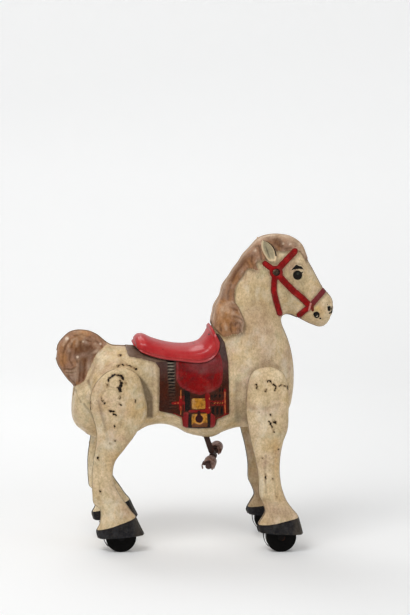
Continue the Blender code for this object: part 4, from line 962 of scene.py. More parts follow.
GIRTH_SIDES = (
    [(183.4, 412), (188.4, 412), (188.2, 427.4), (184, 427)],
    [(210.4, 412), (215, 416), (214.8, 426.6), (210.2, 427.4)],
)
band = strokes(spots, BANDS)
gold = strokes(spots, GOLD_LINES)
loop = np.maximum(disc(spots, (199.2, 418.3), 3.8), stroke(spots, [(198.8, 412), (199, 416)], 3.6))
holes_on = ramp(strokes(spots, CLOTH_HOLES) + 0.6, 1.4)
girth_side = np.maximum.reduce([within(spots, part) for part in GIRTH_SIDES])
print("bands:", len(BANDS), "gold lines:", len(GOLD_LINES), "dark holes:", len(CLOTH_HOLES))

# %% [markdown]
# ## Pressing hair, cloth and straps
#
# A stamping die has soft shoulders, so every raised shape climbs over one to
# three millimetres. Hair stands highest, straps and the saddle cloth less. The
# heights are in millimetres and add up, as the marks of one die over another.


# %% Relief of hair, cloth and straps
def edge_cord(distance, inset, wide=1.3):
    """Gives a raised line that follows an outline a little inside it."""
    return swell(distance - inset, wide)


relief = np.zeros(spots.shape[:2])
inner_part = ramp(depth, 24.0)
soft_lock = blurred(lock, 2)
mane_height = mane_on * (2.6 + 1.8 * soft_lock)
tail_height = tail_on * (1.8 * soft_lock - 0.9)
relief += inner_part * (mane_height + tail_height + mounds(LOCKS))
relief += 1.6 * ramp(body_mm["blanket"], 2.0)
relief += 2.2 * ramp(body_mm["flap"], 2.4) + 0.9 * edge_cord(body_mm["flap"], 4.5)
relief += 0.8 * ladder * (1 - rungs * rung_width) + 0.8 * front_ladder * front_rungs
relief += 1.0 * ramp(band, 1.0) + 0.5 * ramp(gold, 0.8)
relief += 1.4 * ramp(body_mm["yellow"], 1.2) - 0.9 * ramp(body_mm["yellow"] - 3.2, 1.0)
relief += 1.0 * ramp(body_mm["girth"], 1.4) + 0.8 * ramp(girth_side, 1.0) - 1.4 * ramp(loop, 1.2)
relief += 1.7 * ramp(body_mm["strap"], 1.5) + 1.7 * ramp(body_mm["noseband"], 1.5)
print("highest so far, in mm:", round(float(relief.max()), 1))

# %% [markdown]
# ## Pressing head and muscles
#
# The eye bulges like a shallow dome with a lid round it. Broad soft strokes make
# the jaw, the valleys beside the legs and the folds of the buttock. The relief
# fades out at the seam, where the two halves must meet flat.

# %% Relief of head and muscles
BROW = [(291.6, 270.2), (296, 266.0), (300.5, 266.6), (303.4, 269.4)]
MOUTH = [(320.5, 318.5), (326, 318.2), (331, 316.4)]
VALLEY = [
    (135.5, 372.5), (141, 376.4), (146, 381), (150.4, 388), (153.6, 396), (154.2, 408),
    (153.8, 419), (146, 419), (145, 408), (143.6, 398), (141, 387), (137.4, 379),
]
SHOULDER_VALLEY = [(236.8, 384), (236.4, 398), (236.6, 410), (238, 421)]
BUTTOCK_FOLD = [(84, 404), (90, 412), (96, 424)]
# Height in mm, points and reach of each broad stroke
MUSCLES = (
    (-1.6, SHOULDER_VALLEY, 12), (1.0, [(154.8, 366), (155.6, 384), (156, 412)], 3.5),
    (-1.6, [(88, 381), (92.5, 394), (97, 410), (100, 428)], 5),
    (1.4, [(79, 396), (79, 408), (84, 424)], 12), (-0.9, [(75.6, 390), (79, 398), (81, 402)], 3),
    (-0.8, BUTTOCK_FOLD, 3.5),
)
# The jaw, the eye, the brow, the nostril and its rim, the mouth's corner and line
relief += 3.2 * ramp(disc(spots, (286, 289), 19, 1.15), 32)
relief += (1.8 * ramp(disc(spots, (297.8, 275.0), 5.0), 9)
           + 0.6 * swell(disc(spots, (297.8, 275), 6.0, 0.92), 1.6))
relief += 1.3 * ramp(stroke(spots, BROW, 3.0), 1.6)
relief -= 0.8 * ramp(disc(spots, (329.6, 309), 2.4, 1.5), 4.0)
relief += 1.0 * swell(disc(spots, (329.6, 309.2), 3.4, 1.4), 1.8)
relief += 1.2 * ramp(ring(spots, (317, 314.7), 2.0, 1.8), 1.2)
relief -= 0.5 * swell(stroke(spots, MOUTH, 0.4), 1.5)
valley = within(spots, VALLEY)
relief -= 2.6 * ramp(valley, 8)
for rise, points, reach in MUSCLES:
    relief += rise * swell(stroke(spots, points, 0), reach)
flat_edge = ramp(depth, 3.0)
crevice = np.clip((relief - blurred(relief, 2)) * 1.5, -1, 1)
print("relief in mm:", round(float(relief.min()), 1), "to", round(float(relief.max()), 1))

# %% [markdown]
# ## Fine lines of the face
#
# The fine lines of the face were painted freehand, black first and white over
# it. Two of them stop short of the seam, so they are cut off by the depth.

# %% Fine lines of the face
LID = [
    (290.2, 270.8), (293.2, 267.6), (295.2, 265.4), (296.8, 264.4), (298.4, 265.8),
    (301.4, 266.2), (303.6, 269.8), (300, 268.8), (296.6, 269.2), (293.6, 269.6),
]
NOSTRIL_TOP = [(326.6, 307), (326.8, 305), (328, 303.6)]
NOSTRIL_FRONT = [(332, 307), (332, 310), (331, 312.6), (329, 313.2)]
JAW_LINE = [(289, 313.8), (297, 316.6), (301.5, 318)]
off_seam = depth - 12
black = np.maximum.reduce((
    disc(spots, (297.5, 275.2), 4.7),
    stroke(spots, [(301, 273.6), (302.6, 272)], 1.2),
    within(spots, LID),
    disc(spots, (329.2, 308.4), 1.7, 1.8),
    np.minimum(stroke(spots, NOSTRIL_TOP, 0.7), off_seam),
    np.minimum(stroke(spots, NOSTRIL_FRONT, 1.3), off_seam),
    disc(spots, (316.7, 314.9), 3.0, 1.1),
    disc(spots, (320.3, 318.4), 1.0),
    stroke(spots, JAW_LINE, 0.7),
))
white = np.maximum.reduce((
    disc(spots, (316.8, 315.4), 1.2),
    ring(spots, (329.4, 308.6), 2.9, 0.7) - 0.3,
    stroke(spots, [(293, 280), (297, 281.2), (300.6, 280)], 0.5) - 0.6,
))
print("largest black and white spots in mm:", round(float(black.max()), 1),
      round(float(white.max()), 1))

# %% [markdown]
# ## Shade and tones of the body
#
# Painted shade lies beside and above the legs, in the fold of the buttock and
# beside the tail, and a rosy patch above the fore leg is painted shade too.
# Elsewhere the cream is cooler, rosier or paler in wide soft regions. All of these
# are soft patches from 0 to 1, made of discs and paths. The body's few chips are
# drawn one by one.

# %% Shade and tones of the body
BODY_CHIPS = (
    ([(117.5, 366), (122, 364.6), (127, 365.0), (131.5, 366.8), (136.8, 369.6)], 1.0),
    ([(118.6, 355.2), (120.6, 355.2)], 1.6), ([(193, 343.5), (194, 343.5)], 0.9),
)
ABOVE_FORE_LEG = [(252, 372), (256, 366.6), (264, 363.4), (273, 364), (279, 368)]
BEHIND_FORE_LEG = [(233, 386), (247, 380), (248, 422), (234, 424)]
AT_THE_TAIL = [(88, 376), (96, 374), (104, 392), (98, 400), (90, 392)]
# Painted shade along paths: strength, points and reach
SHADE_PATHS = (
    (0.5, SHOULDER_VALLEY, 4), (0.35, ABOVE_FORE_LEG, 5),
    (0.5, [(245.8, 384), (246, 404), (246.6, 424)], 3), (0.16, BUTTOCK_FOLD, 4),
)
# Each disc has a strength, centre, radius, squash and fade
# The rosy disc at (266, 352), above the fore leg, is painted shade
BODY_TONES = {
    "cool": ((0.35, (262, 296), 26, 1.4, 60), (0.8, (292, 286), 22, 1, 40),
             (0.6, (150, 372), 26, 1.6, 60)),
    "rosy": ((0.7, (266, 352), 14, 1.4, 26), (0.5, (226, 348), 10, 1.6, 24),
             (0.5, (262, 304), 8, 1, 18), (0.6, (256, 326), 26, 1.3, 40),
             (0.55, (166, 372), 20, 2.0, 30), (0.4, (120, 362), 8, 0.6, 16)),
    "pale": ((0.75, (97, 358), 13, 0.8, 24), (0.8, (82, 406), 9, 1.9, 20),
             (0.5, (255, 366), 9, 0.6, 16), (0.5, (300, 262), 7, 1, 14),
             (0.5, (190, 424), 40, 0.12, 12)),
}
chips = np.maximum(strokes(spots, BODY_CHIPS), disc(spots, (163, 350), 0.6))
# Painted shade: the valley beside the haunch, the paths, and the patches behind the fore leg and beside
# the tail
shade = np.maximum.reduce((
    ramp(valley + 1.5, 7),
    tone(spots, paths=SHADE_PATHS),
    0.32 * ramp(within(spots, BEHIND_FORE_LEG) + 3, 12),
    0.2 * ramp(within(spots, AT_THE_TAIL), 10),
))
body_tones = {name: tone(spots, discs) for name, discs in BODY_TONES.items()}
tint = 0.8 * ramp(disc(spots, (319, 311), 9), 20) + 0.6 * ramp(disc(spots, (283, 284), 8), 14)
print("tones of the body:", list(body_tones))

# %% [markdown]
# ## All layers of the body
#
# Every mask becomes a value layer of the mesh, one number at each of its points.
# The paint reads a layer by its name, so the picture itself is never needed.

# %% All layers of the body
body_mm["strap_red"] = body_mm["strap"] - 2.4
body_mm["chip_dirt"] = chips + 1.6
body_mm["chip_specks"] = chips - 0.6
body_mm["pink_loop"] = stroke(spots, [(310.6, 303.4), (309.8, 306.2), (309, 309.8)], 1.8)
body_mm["brown_loop"] = stroke(spots, [(312.4, 304.6), (312.7, 310.2)], 2.8)
# A painted highlight just outside the straps' edges
body_mm["strap_highlight"] = swell(np.maximum(body_mm["strap"], body_mm["noseband"]) + 1.0, 1.3)
body_mm["buckle_ring"] = ring(spots, (199.2, 418.3), 4.7, 1.2)
body_mm["buckle_foot"] = within(spots, [(192, 422.6), (207.4, 422), (207.2, 426), (192, 426.4)])
body_mm["boss_ring"] = disc(spots, (276.4, 272.2), 3.7)
# A painted highlight on the eye's dome
body_mm["eye_highlight"] = ramp(disc(spots, (297.8, 273.4), 1.7), 2.6)
body_mm["lip_yellow"] = ramp(disc(spots, (317.5, 308.5), 4.5), 9.0)
under_belly = within(spots, [(183.6, 389), (190.6, 389), (190.6, 411), (183.8, 411)])
cord = edge_cord(body_mm["flap"], 1.2)
inner_cord = edge_cord(body_mm["flap"], 5.2)
# The ladder's black fades downwards, and its rungs are palest at the top
ladder_black = ladder * rungs * rung_width * np.clip((392 - picture_y) / 20 + 0.5, 0.4, 1)
rung_pale = ladder * rung_width * (1 - rungs) * np.clip((400 - picture_y) / 30, 0.1, 1)
body_layers = dict(
    body_mm,
    lock=lock,
    furrow=furrow + np.where(on_tail, 0.3, 1.0),
    pale_lock_and_highlight=pale_lock_and_highlight,
    flow=flow,
    length=length,
    black=black,
    white=white,
    chip=chips,
    shade=shade,
    tint=tint,
    **body_tones,
    crevice=crevice,
    band=band,
    gold=gold,
    loop=loop,
    girth_side=girth_side,
    flap_edge=np.maximum(cord, 0.5 * inner_cord),
    flap_dust=ramp(disc(spots, (206, 365), 24, 0.45) + 2, 24),
    flap_red=ramp(disc(spots, (201, 386), 17, 0.5), 16),
    **hair_tones,
    ladder=ladder_black + 0.9 * holes_on,
    rung=rung_pale,
    cloth_grey=np.clip((384 - picture_y) / 30, 0, 1) * ramp(body_mm["blanket"], 2),
    under_belly=np.maximum(under_belly, 0) / 2,
)
print("layers of the body:", len(body_layers))

# %% [markdown]
# ## Body halves
#
# Each half gets its relief, a narrow flange along the seam and two round holes
# for the bushes of the leg shafts. Where the pedal lever comes out, the belly
# keeps away from the seam and leaves a slot.


# %% Body halves
def with_flange(grid, layers, width):
    """Adds the strip that sticks out along the seam, at both edges of a skin."""
    rims = []
    for near, next_in in ((0, 1), (-1, -2)):
        line = grid[:, near].copy()
        run = np.gradient(line, axis=0)
        away = np.stack((run[:, 2], np.zeros(len(run)), -run[:, 0]), axis=-1)
        away /= np.maximum(np.linalg.norm(away, axis=-1, keepdims=True), 1e-9)
        inner = grid[:, next_in] - line
        away *= np.where((away * inner).sum(-1, keepdims=True) > 0, -1.0, 1.0)
        rims.append(line + away * width)
    wide = np.concatenate((rims[0][:, None], grid, rims[1][:, None]), axis=1)
    layers = {name: np.pad(values, ((0, 0), (1, 1)), mode="edge")
              for name, values in layers.items()}
    seam = np.zeros(wide.shape[:2])
    seam[:, :2] = seam[:, -2:] = 1
    return wide, dict(layers, seam=seam)


BODY_FLANGE, BUSH_HOLE = 1.8 * MM, 12.5 * MM
SLOT_REAR, SLOT_FRONT, SLOT_TOP, SLOT_HALF_WIDTH = 22, 66, 300, 9
BELLY_SHARE = 0.6

skin = body_base + body_out * (relief * flat_edge * MM)[..., None]
skin[..., 1] = np.minimum(skin[..., 1], -SKIN)
# The belly is slotted where the pedal lever swings
in_slot = (x > SLOT_REAR) & (x < SLOT_FRONT) & (z < SLOT_TOP) & (share > BELLY_SHARE)
skin[..., 1] = np.where(in_slot, np.minimum(skin[..., 1], -SLOT_HALF_WIDTH * MM), skin[..., 1])
skin, body_layers = with_flange(skin, body_layers, BODY_FLANGE)
bush_holes = [(px * MM, pz * MM, BUSH_HOLE) for px, pz in (SHOULDER, HIP)]
body_skins = []
for side, word in SIDES:
    piece = skin_object("pressed_body_" + word, skin, body_layers, side, holes=bush_holes)
    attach(piece, "horse_body")
    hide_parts("body_shell_" + word)
    body_skins.append(piece)
    print(piece.name, len(piece.data.polygons), "faces")

# %% [markdown]
# ## Paint in coats
#
# A toy painter works in coats: cream all over, shade from the airbrush, then
# hair, cloth and straps, and the fine black and white last. One function does
# the same with any list of coats. A hard coat cuts its distance with the brushed
# edge, and a soft coat fades in by its strength. Wear lies over all of them.


# %% Coats of paint
VARNISH_BLUR, DENT_DEPTH = 0.16, 0.0006


def layer_value(tree, label):
    """Reads a value layer of the mesh by its name."""
    return add(tree, "Attribute", attribute_name=label).outputs["Fac"]


def brushed(tree, distance, softness, wobble):
    """Cuts a distance at zero with the brushed edge."""
    return use_group(tree, brushed_edge, {"Distance": distance, "Softness": softness,
                                          "Wobble": wobble}).outputs["Mask"]


def mottle(tree, first, second, scale, low=0.42, high=0.60):
    """Mixes two colours in clouds of one size."""
    place = add(tree, "TexCoord").outputs["Object"]
    noise = add(tree, "TexNoise", {"Vector": place, "Scale": scale, "Detail": 5.0,
                                   "Roughness": 0.62}).outputs["Fac"]
    mask = maths(tree, "DIVIDE", maths(tree, "SUBTRACT", noise, low), high - low, clamp=True)
    return lay_over(tree, first, second, mask)


def two_tone(first, second, scale, low=0.42, high=0.60):
    """Gives a maker of a two-toned colour, to be wired in a finish later."""
    return lambda tree: mottle(tree, first, second, scale, low, high)


def painted(name, base, coats, wear, gloss=0.42, bump=0.5):
    """Makes a finish: a base colour, coats over it, then wear.

    A coat has its layer, its colour, its kind, its edge's softness or its strength,
    and how far its edge wobbles.
    """
    material = bpy.data.materials.new(name)
    material.use_nodes = True
    tree = material.node_tree
    shader = tree.nodes["Principled BSDF"]
    colour = base(tree) if callable(base) else base
    for label, above, kind, amount, wobble in coats:
        value = layer_value(tree, label)
        if kind == "hard":
            mask = brushed(tree, value, amount, wobble)
        else:
            mask = maths(tree, "MULTIPLY", value, amount, clamp=True)
        colour = lay_over(tree, colour, above(tree) if callable(above) else above, mask)
    worn = use_group(tree, old_paint, {
        "Color": colour, "Clouds": wear["clouds"], "Specks": wear["specks"],
        "Cracks": wear["cracks"], "Chips": wear["chips"], "Crevice": layer_value(tree, "crevice"),
    })
    tree.links.new(worn.outputs["Color"], shader.inputs["Base Color"])
    rough = maths(tree, "ADD", worn.outputs["Rough"], gloss, clamp=True)
    tree.links.new(rough, shader.inputs["Roughness"])
    shader.inputs["Specular IOR Level"].default_value = wear["shine"]
    shader.inputs["Coat Weight"].default_value = wear["varnish"]
    shader.inputs["Coat Roughness"].default_value = VARNISH_BLUR
    dents = add(tree, "Bump", {"Height": worn.outputs["Height"], "Strength": bump,
                               "Distance": DENT_DEPTH}).outputs["Normal"]
    tree.links.new(dents, shader.inputs["Normal"])
    return material


print("groups that a finish uses:", [group.name for group in bpy.data.node_groups])

# %% [markdown]
# ## The painter's colours
#
# The cream has gone rosy, ochre and greenish in wide soft patches. The hair's
# colour follows its strands, with dark furrows and pale worn locks. Reds and
# browns are two close tones in clouds, as old paint never stays one tone.

# %% Colours
CREAM = rgb(232, 209, 172)
SHADE = rgb(124, 108, 90)
OCHRE = rgb(216, 176, 116)
CHIP = rgb(26, 20, 17)
DIRT = rgb(172, 142, 106)
RED = rgb(142, 0, 6)
STRAP_EDGE = rgb(132, 16, 24)


def cream_coat(tree):
    """Wires the old cream with its rosy, ochre and greenish patches."""
    coat = mottle(tree, CREAM, rgb(214, 184, 158), 15, low=0.48, high=0.66)
    coat = mottle(tree, coat, rgb(220, 190, 142), 11, low=0.50, high=0.66)
    return mottle(tree, coat, rgb(214, 200, 166), 20, low=0.54, high=0.70)


def hair_colour(tree):
    """Wires the brown hair: strands, fine streaks along them, furrows, and pale locks with painted
    highlights among them.
    """
    lock = layer_value(tree, "lock")
    drawn_out = maths(tree, "MULTIPLY", layer_value(tree, "length"), 0.10)
    run = add(tree, "CombineXYZ", {"X": layer_value(tree, "flow"), "Y": drawn_out})
    streak = add(tree, "TexNoise", {"Vector": run.outputs[0], "Scale": 1.1, "Detail": 5.0,
                                    "Roughness": 0.7}).outputs["Fac"]
    streak = maths(tree, "MULTIPLY", maths(tree, "SUBTRACT", streak, 0.42), 3.6, clamp=True)
    streak = maths(tree, "MULTIPLY", streak, maths(tree, "MULTIPLY", lock, 0.3))
    brown = mottle(tree, rgb(172, 122, 80), rgb(172, 134, 112), 24, low=0.42, high=0.58)
    dark = mottle(tree, rgb(138, 90, 58), rgb(140, 104, 86), 30)
    hair = lay_over(tree, dark, brown, maths(tree, "MULTIPLY", lock, 1.6, clamp=True))
    hair = lay_over(tree, hair, rgb(176, 146, 122), streak)
    # Pale worn locks, with painted highlights among them
    pale = brushed(tree, layer_value(tree, "pale_lock_and_highlight"), 6.0, 1.0)
    hair = lay_over(tree, hair, rgb(206, 180, 158), maths(tree, "MULTIPLY", pale, 0.6))
    deep = brushed(tree, layer_value(tree, "furrow"), 3.4, 0.8)
    return lay_over(tree, hair, rgb(74, 44, 30), maths(tree, "MULTIPLY", deep, 0.42))


def flap_colour(tree):
    """Wires the flap's red with its worn brown patches."""
    red = mottle(tree, rgb(140, 0, 6), rgb(112, 14, 22), 60, low=0.44, high=0.60)
    return mottle(tree, red, rgb(82, 30, 30), 38, low=0.54, high=0.66)


strap_colour = two_tone(rgb(176, 0, 8), rgb(136, 0, 6), 60, 0.42, 0.58)
blanket_colour = two_tone(rgb(76, 26, 4), rgb(58, 22, 10), 46)
amber_colour = two_tone(rgb(206, 142, 40), rgb(146, 96, 26), 130, 0.46, 0.62)
print("cream, linear:", [round(part, 3) for part in CREAM])

# %% [markdown]
# ## Painting the body
#
# The coats go on from the widest to the finest: shade and tones, hair, cloth and
# its trim, harness, the fine lines of the face, and the chips last.

# %% Body paint
CHIP_COATS = (
    ("chip_dirt", DIRT, "hard", 4.0, 1.8), ("chip_specks", rgb(74, 58, 42), "hard", 1.2, 3.2),
    ("chip", CHIP, "hard", 1.1, 2.7),
)
TONE_COATS = (
    ("tint", OCHRE, "soft", 0.55, 0), ("shade", SHADE, "soft", 0.76, 0),
    ("cool", rgb(176, 164, 132), "soft", 0.6, 0), ("rosy", rgb(188, 156, 134), "soft", 0.7, 0),
    ("pale", rgb(244, 226, 190), "soft", 0.7, 0),
    ("lip_yellow", rgb(232, 204, 132), "soft", 0.6, 0),
)
HAIR_COATS = (
    ("tail", hair_colour, "hard", 2.5, 1.0), ("mane", hair_colour, "hard", 1.6, 0.6),
    ("hair_brown", rgb(104, 64, 40), "soft", 0.66, 0),
    ("hair_mauve", rgb(164, 136, 122), "soft", 0.45, 0),
    ("hair_orange", rgb(196, 140, 88), "soft", 0.7, 0),
    ("hair_pale", rgb(212, 184, 160), "soft", 0.95, 0),
    # Painted highlights on the hair
    ("hair_highlight", rgb(242, 222, 204), "soft", 0.95, 0),
)
CLOTH_COATS = (
    ("blanket", blanket_colour, "hard", 0.8, 0.5), ("cloth_grey", rgb(88, 72, 72), "soft", 0.75, 0),
    ("rear_flap", rgb(120, 96, 84), "hard", 1.2, 1.0),
    ("under_belly", rgb(16, 12, 12), "soft", 0.8, 0), ("rung", rgb(124, 116, 104), "soft", 1.0, 0),
    ("ladder", rgb(4, 4, 4), "soft", 1.5, 0), ("band", RED, "hard", 0.5, 0.3),
    ("gold", rgb(206, 116, 52), "hard", 0.5, 0.3), ("girth", rgb(34, 20, 18), "hard", 0.6, 0.3),
    ("girth_side", rgb(150, 26, 34), "hard", 0.7, 0.5), ("yellow", amber_colour, "hard", 0.6, 0.6),
    ("buckle_foot", rgb(128, 74, 42), "hard", 0.8, 0.6),
    ("buckle_ring", rgb(222, 148, 60), "hard", 0.7, 0.4),
    ("loop", rgb(54, 14, 18), "hard", 0.6, 0.4),
    ("flap", flap_colour, "hard", 0.8, 0.4), ("flap_dust", rgb(124, 60, 64), "soft", 0.6, 0),
    ("flap_red", rgb(146, 0, 2), "soft", 0.8, 0), ("flap_edge", rgb(166, 52, 60), "soft", 0.55, 0),
)
FACE_COATS = (
    # Painted highlight along the straps' edges
    ("strap_highlight", rgb(224, 178, 152), "soft", 0.5, 0),
    ("noseband", rgb(124, 40, 48), "hard", 0.7, 0.5), ("strap", STRAP_EDGE, "hard", 0.7, 0.5),
    ("strap_red", strap_colour, "hard", 1.6, 0.5), ("boss_ring", rgb(40, 18, 16), "hard", 0.8, 0.4),
    ("brown_loop", rgb(122, 44, 28), "hard", 0.8, 0.4),
    ("pink_loop", rgb(206, 134, 130), "hard", 0.8, 0.4),
    ("black", rgb(16, 14, 13), "hard", 0.8, 0.25),
    # The eye's painted highlight, then the white lines
    ("eye_highlight", rgb(60, 72, 66), "soft", 0.7, 0), ("white", rgb(226, 216, 196), "hard", 0.5, 0.2),
)
BODY_WEAR = dict(clouds=0.75, specks=0.35, cracks=0.1, chips=0.15, varnish=0.05, shine=0.08)


def dressed(pieces, material):
    """Gives pieces one finish instead of any they had."""
    for piece in pieces:
        piece.data.materials.clear()
        piece.data.materials.append(material)


body_paint = painted(
    "painted_body", cream_coat,
    TONE_COATS + HAIR_COATS + CLOTH_COATS + FACE_COATS + CHIP_COATS
    + (("seam", rgb(150, 124, 96), "soft", 0.8, 0),),
    BODY_WEAR,
)
dressed(body_skins, body_paint)
print("body paint nodes:", len(body_paint.node_tree.nodes))

# %% [markdown]
# ## Legs
#
# A leg is two pressed halves on one seam, 95 mm out from the middle. The outer
# half shows muscles, the two round marks of the hip, tendons and the fetlock.
# The hoof is set back by a millimetre under the edge of the coat.

# %% Leg sections
FORE_LEG = (
    (172, 450, 146, 447, 0, 0), (187, 445, 131, 439, 12, 4.6), (202, 434, 122, 422, 18, 5.5),
    (212, 414, 118, 402, 21, 5.5), (217, 386, 117, 374, 22, 5.5), (218, 342, 118, 336, 22, 6),
    (217, 300, 124, 303, 21, 9), (208, 270, 133, 263, 20, 14), (202, 236, 144, 224, 19, 16),
    (202, 190, 153, 178, 17, 16), (210, 150, 156, 136, 17, 16), (221, 124, 165, 118, 18, 17),
    (236, 104, 171, 98, 20, 19), (251, 85, 156, 68, 22, 21), (257, 68, 153, 59, 22.5, 21.5),
    (264, 44, 157, 48, 24, 23),
)
HIND_LEG = (
    (-173, 443, -200, 441, 0, 0), (-157, 436, -219, 432, 12, 4.6),
    (-143, 422, -236, 416, 18, 5.5), (-136, 404, -247, 400, 21, 5.5),
    (-130, 382, -254, 381, 22, 5.5), (-122, 346, -255, 347, 22, 6),
    (-126, 319, -247, 320, 22, 8), (-139, 300, -241, 300, 21, 11),
    (-157, 272, -238, 274, 20, 14), (-176, 246, -241, 248, 19, 16),
    (-194, 221, -244, 224, 18, 16), (-200, 196, -247, 196, 18, 16),
    (-196, 166, -247, 164, 18, 17), (-183, 139, -245, 137, 18, 17),
    (-168, 118, -242, 118, 18, 17), (-154, 98, -226, 101, 20, 19),
    (-142, 84, -227, 66, 22, 21), (-134, 68, -234, 51, 22.5, 21.5),
    (-121, 43, -230, 33, 24, 23),
)
FORE_HOOF = ((155, 66), (175, 68), (197, 72), (224, 79), (251, 84))
HIND_HOOF = ((-233, 53), (-215, 58), (-196, 64), (-175, 72), (-153, 80), (-141, 85))
LEG_SEAM = 95 * MM
LEG_ROWS, LEG_COLUMNS = 230, 56
print("fore sections:", len(FORE_LEG), "hind sections:", len(HIND_LEG))

# %% [markdown]
# ## Forms and chips of the legs
#
# Tendons and muscles are soft ridges and furrows along short paths. The outer
# halves have lost paint in chips, most of them round haunch and shoulder, and
# these are drawn one by one. Stains and pink painted shade go by region in soft
# patches, as on the body.

# %% Forms and chips of the legs
# Each form is a soft ridge or furrow of the drawing: its path, height and reach in mm
FORE_FORMS = (
    ([(247, 407), (256, 409.5), (268, 408), (279, 405)], -0.7, 6.0),
    ([(265.5, 456), (265, 474), (266, 492)], -0.6, 4.0),
    ([(274, 458), (274, 476), (276, 494)], -0.6, 4.0),
    ([(283, 392), (284, 404), (280, 420), (276, 440)], 1.2, 10.0),
    ([(258, 404), (260, 424), (265, 446)], 1.0, 12.0),
    ([(269.4, 452), (269.8, 470), (270.6, 488)], 0.7, 5.0),
    ([(264, 500), (270, 503), (277, 504)], -0.6, 6.0), ([(263, 488), (262.6, 496)], 1.2, 6.0),
    ([(264, 519), (272, 513), (282, 512)], 0.6, 7.0),
)
HIND_FORMS = (
    ([(94, 396), (97, 410), (101, 428)], 1.0, 6.0),
    ([(98, 402), (103, 420), (108, 440)], -0.7, 7.0),
    ([(129, 392), (131, 405), (127, 420), (118, 438)], 1.0, 11.0),
    ([(121, 424), (114, 440), (106, 454)], -0.5, 7.0),
    ([(91, 458), (97, 460), (102, 456)], 1.2, 6.0),
    ([(97.5, 466), (98, 480), (101, 494)], -0.6, 4.5),
    ([(106, 466), (108, 480), (112, 494)], -0.5, 4.5), ([(94, 492), (95, 499)], 1.2, 6.0),
    ([(99, 504), (107, 503), (118, 502)], -0.5, 6.0),
    ([(104, 522), (114, 516), (124, 514)], 0.6, 7.0),
)
FORE_CHIPS = (
    ([(256.4, 384.4), (256.9, 388.4)], 1.4), ([(265.9, 389.8), (265.7, 391.2)], 1.2),
    ([(269.6, 380.6), (270.6, 382.2)], 1.7), ([(267.2, 381), (268, 382)], 0.7),
    ([(273.2, 384.2), (276.4, 386.4), (275.0, 390.4)], 1.0), ([(279.4, 386.0), (281.6, 385)], 0.6),
    ([(283.5, 385.8), (286, 386.4)], 0.6), ([(287.7, 386.8), (288.2, 388.8)], 1.6),
    ([(269.4, 421.6), (271.0, 424.2), (272.2, 427.2)], 1.5),
    ([(273.6, 421.6), (275.4, 422.6)], 2.1), ([(273.4, 430.2), (273.7, 432.0)], 1.0),
    ([(270.4, 414.6), (271.0, 414.9)], 1.6), ([(278.6, 449.4), (278.5, 449.9)], 1.2),
    ([(262.4, 458), (262.6, 458.4)], 0.6), ([(265.4, 474), (265.6, 479), (265.2, 482)], 0.5),
    ([(272.8, 478.4), (272.8, 479)], 0.7), ([(276.4, 496.4), (276.8, 496.8)], 0.8),
    ([(258.6, 412), (258.8, 412.4)], 0.5),
)
HIND_CHIPS = (
    ([(108.2, 380.9), (109.4, 378.2), (111.8, 376.2), (114.6, 374.7), (117.6, 375.0),
      (120.4, 376.2)], 1.7), ([(120.4, 376), (122.4, 376.2), (122.8, 379.2)], 1.9),
    ([(120.6, 381.6), (121.9, 384), (119.6, 387.6), (119.9, 391)], 2.5),
    ([(118.2, 387.6), (119.4, 390.2)], 2.0), ([(107.2, 384.6), (107.4, 386.0)], 1.9),
    ([(125.5, 383.2), (125.7, 383.6)], 0.9), ([(119.9, 397), (119.4, 398)], 1.5),
    ([(120.2, 404.0), (121.0, 405.2)], 1.5), ([(101.8, 398.2), (102.1, 400.4)], 1.3),
    ([(104.0, 402), (104.6, 403.6)], 1.4), ([(90.4, 402.4), (90.8, 404.0)], 1.1),
    ([(90.7, 407), (90.9, 409)], 0.8), ([(109.2, 410.9), (113.4, 411.5)], 2.0),
    ([(113.6, 414.0), (116.2, 415.2)], 1.8), ([(114.2, 425.8), (114.5, 426.8)], 1.5),
    ([(114.6, 440.2), (115.4, 440.4)], 1.3), ([(110, 443.2), (110.2, 444)], 0.7),
    ([(135.1, 400), (135.4, 402.2)], 0.8), ([(98.2, 457.6), (98.6, 459.6)], 1.1),
    ([(99.9, 491), (100.4, 491.6)], 0.8), ([(120.4, 366.4), (123.4, 366)], 0.8),
    ([(127.0, 366.0), (130.8, 367.2), (132.4, 368.8)], 1.1),
    ([(135.2, 369.6), (136.8, 370.8)], 1.0),
)
# Each mark has its discs and its paths, as the helper for soft patches takes them
# Stains are ochre paint; the pink patches are painted shade
FORE_MARKS = {
    "stain": ((), ((0.9, [(276, 440), (275.4, 470), (277.4, 498)], 8),)),
    "bruise": ((), ((0.8, [(268, 506), (277, 510), (286, 513)], 20),
                    (0.6, [(252, 408), (262, 411), (272, 409)], 10))),
}
HIND_MARKS = {
    "stain": (((0.4, (116, 470), 10, 1, 30), (0.7, (128, 404), 10, 2.2, 26)), ()),
    "bruise": (((0.6, (95.5, 386), 9, 1.3, 22),),
               ((0.9, [(112, 490), (119, 503), (126, 513)], 17),
                (0.4, [(99, 402), (104, 418), (111, 430)], 12))),
}
# The two round marks of the hip: centre, radius and height in mm
HIP_DISCS = (((114.6, 381.8), 5.9, 0.9), ((110.6, 398), 8.2, 0.9))
print("chips, fore and hind:", len(FORE_CHIPS), len(HIND_CHIPS))

# %% [markdown]
# ## Pressing the legs
#
# The outer half gets all the relief. The inner half is plainer and boxier, with a
# hole for the shaft. The left leg's chips are shifted a little, so that the two
# sides don't look stamped with the same damage.


# %% Leg skins
LEG_FLANGE, SHAFT_HOLE = 1.2 * MM, 8 * MM
OUTER_POWER, INNER_POWER = 2.6, 4.0
FORM_RISE, HOOF_STEP = 1.6, 1.1
CHIP_SHIFT = np.array((5.0, 7.0))
NO_CHIP = -50.0


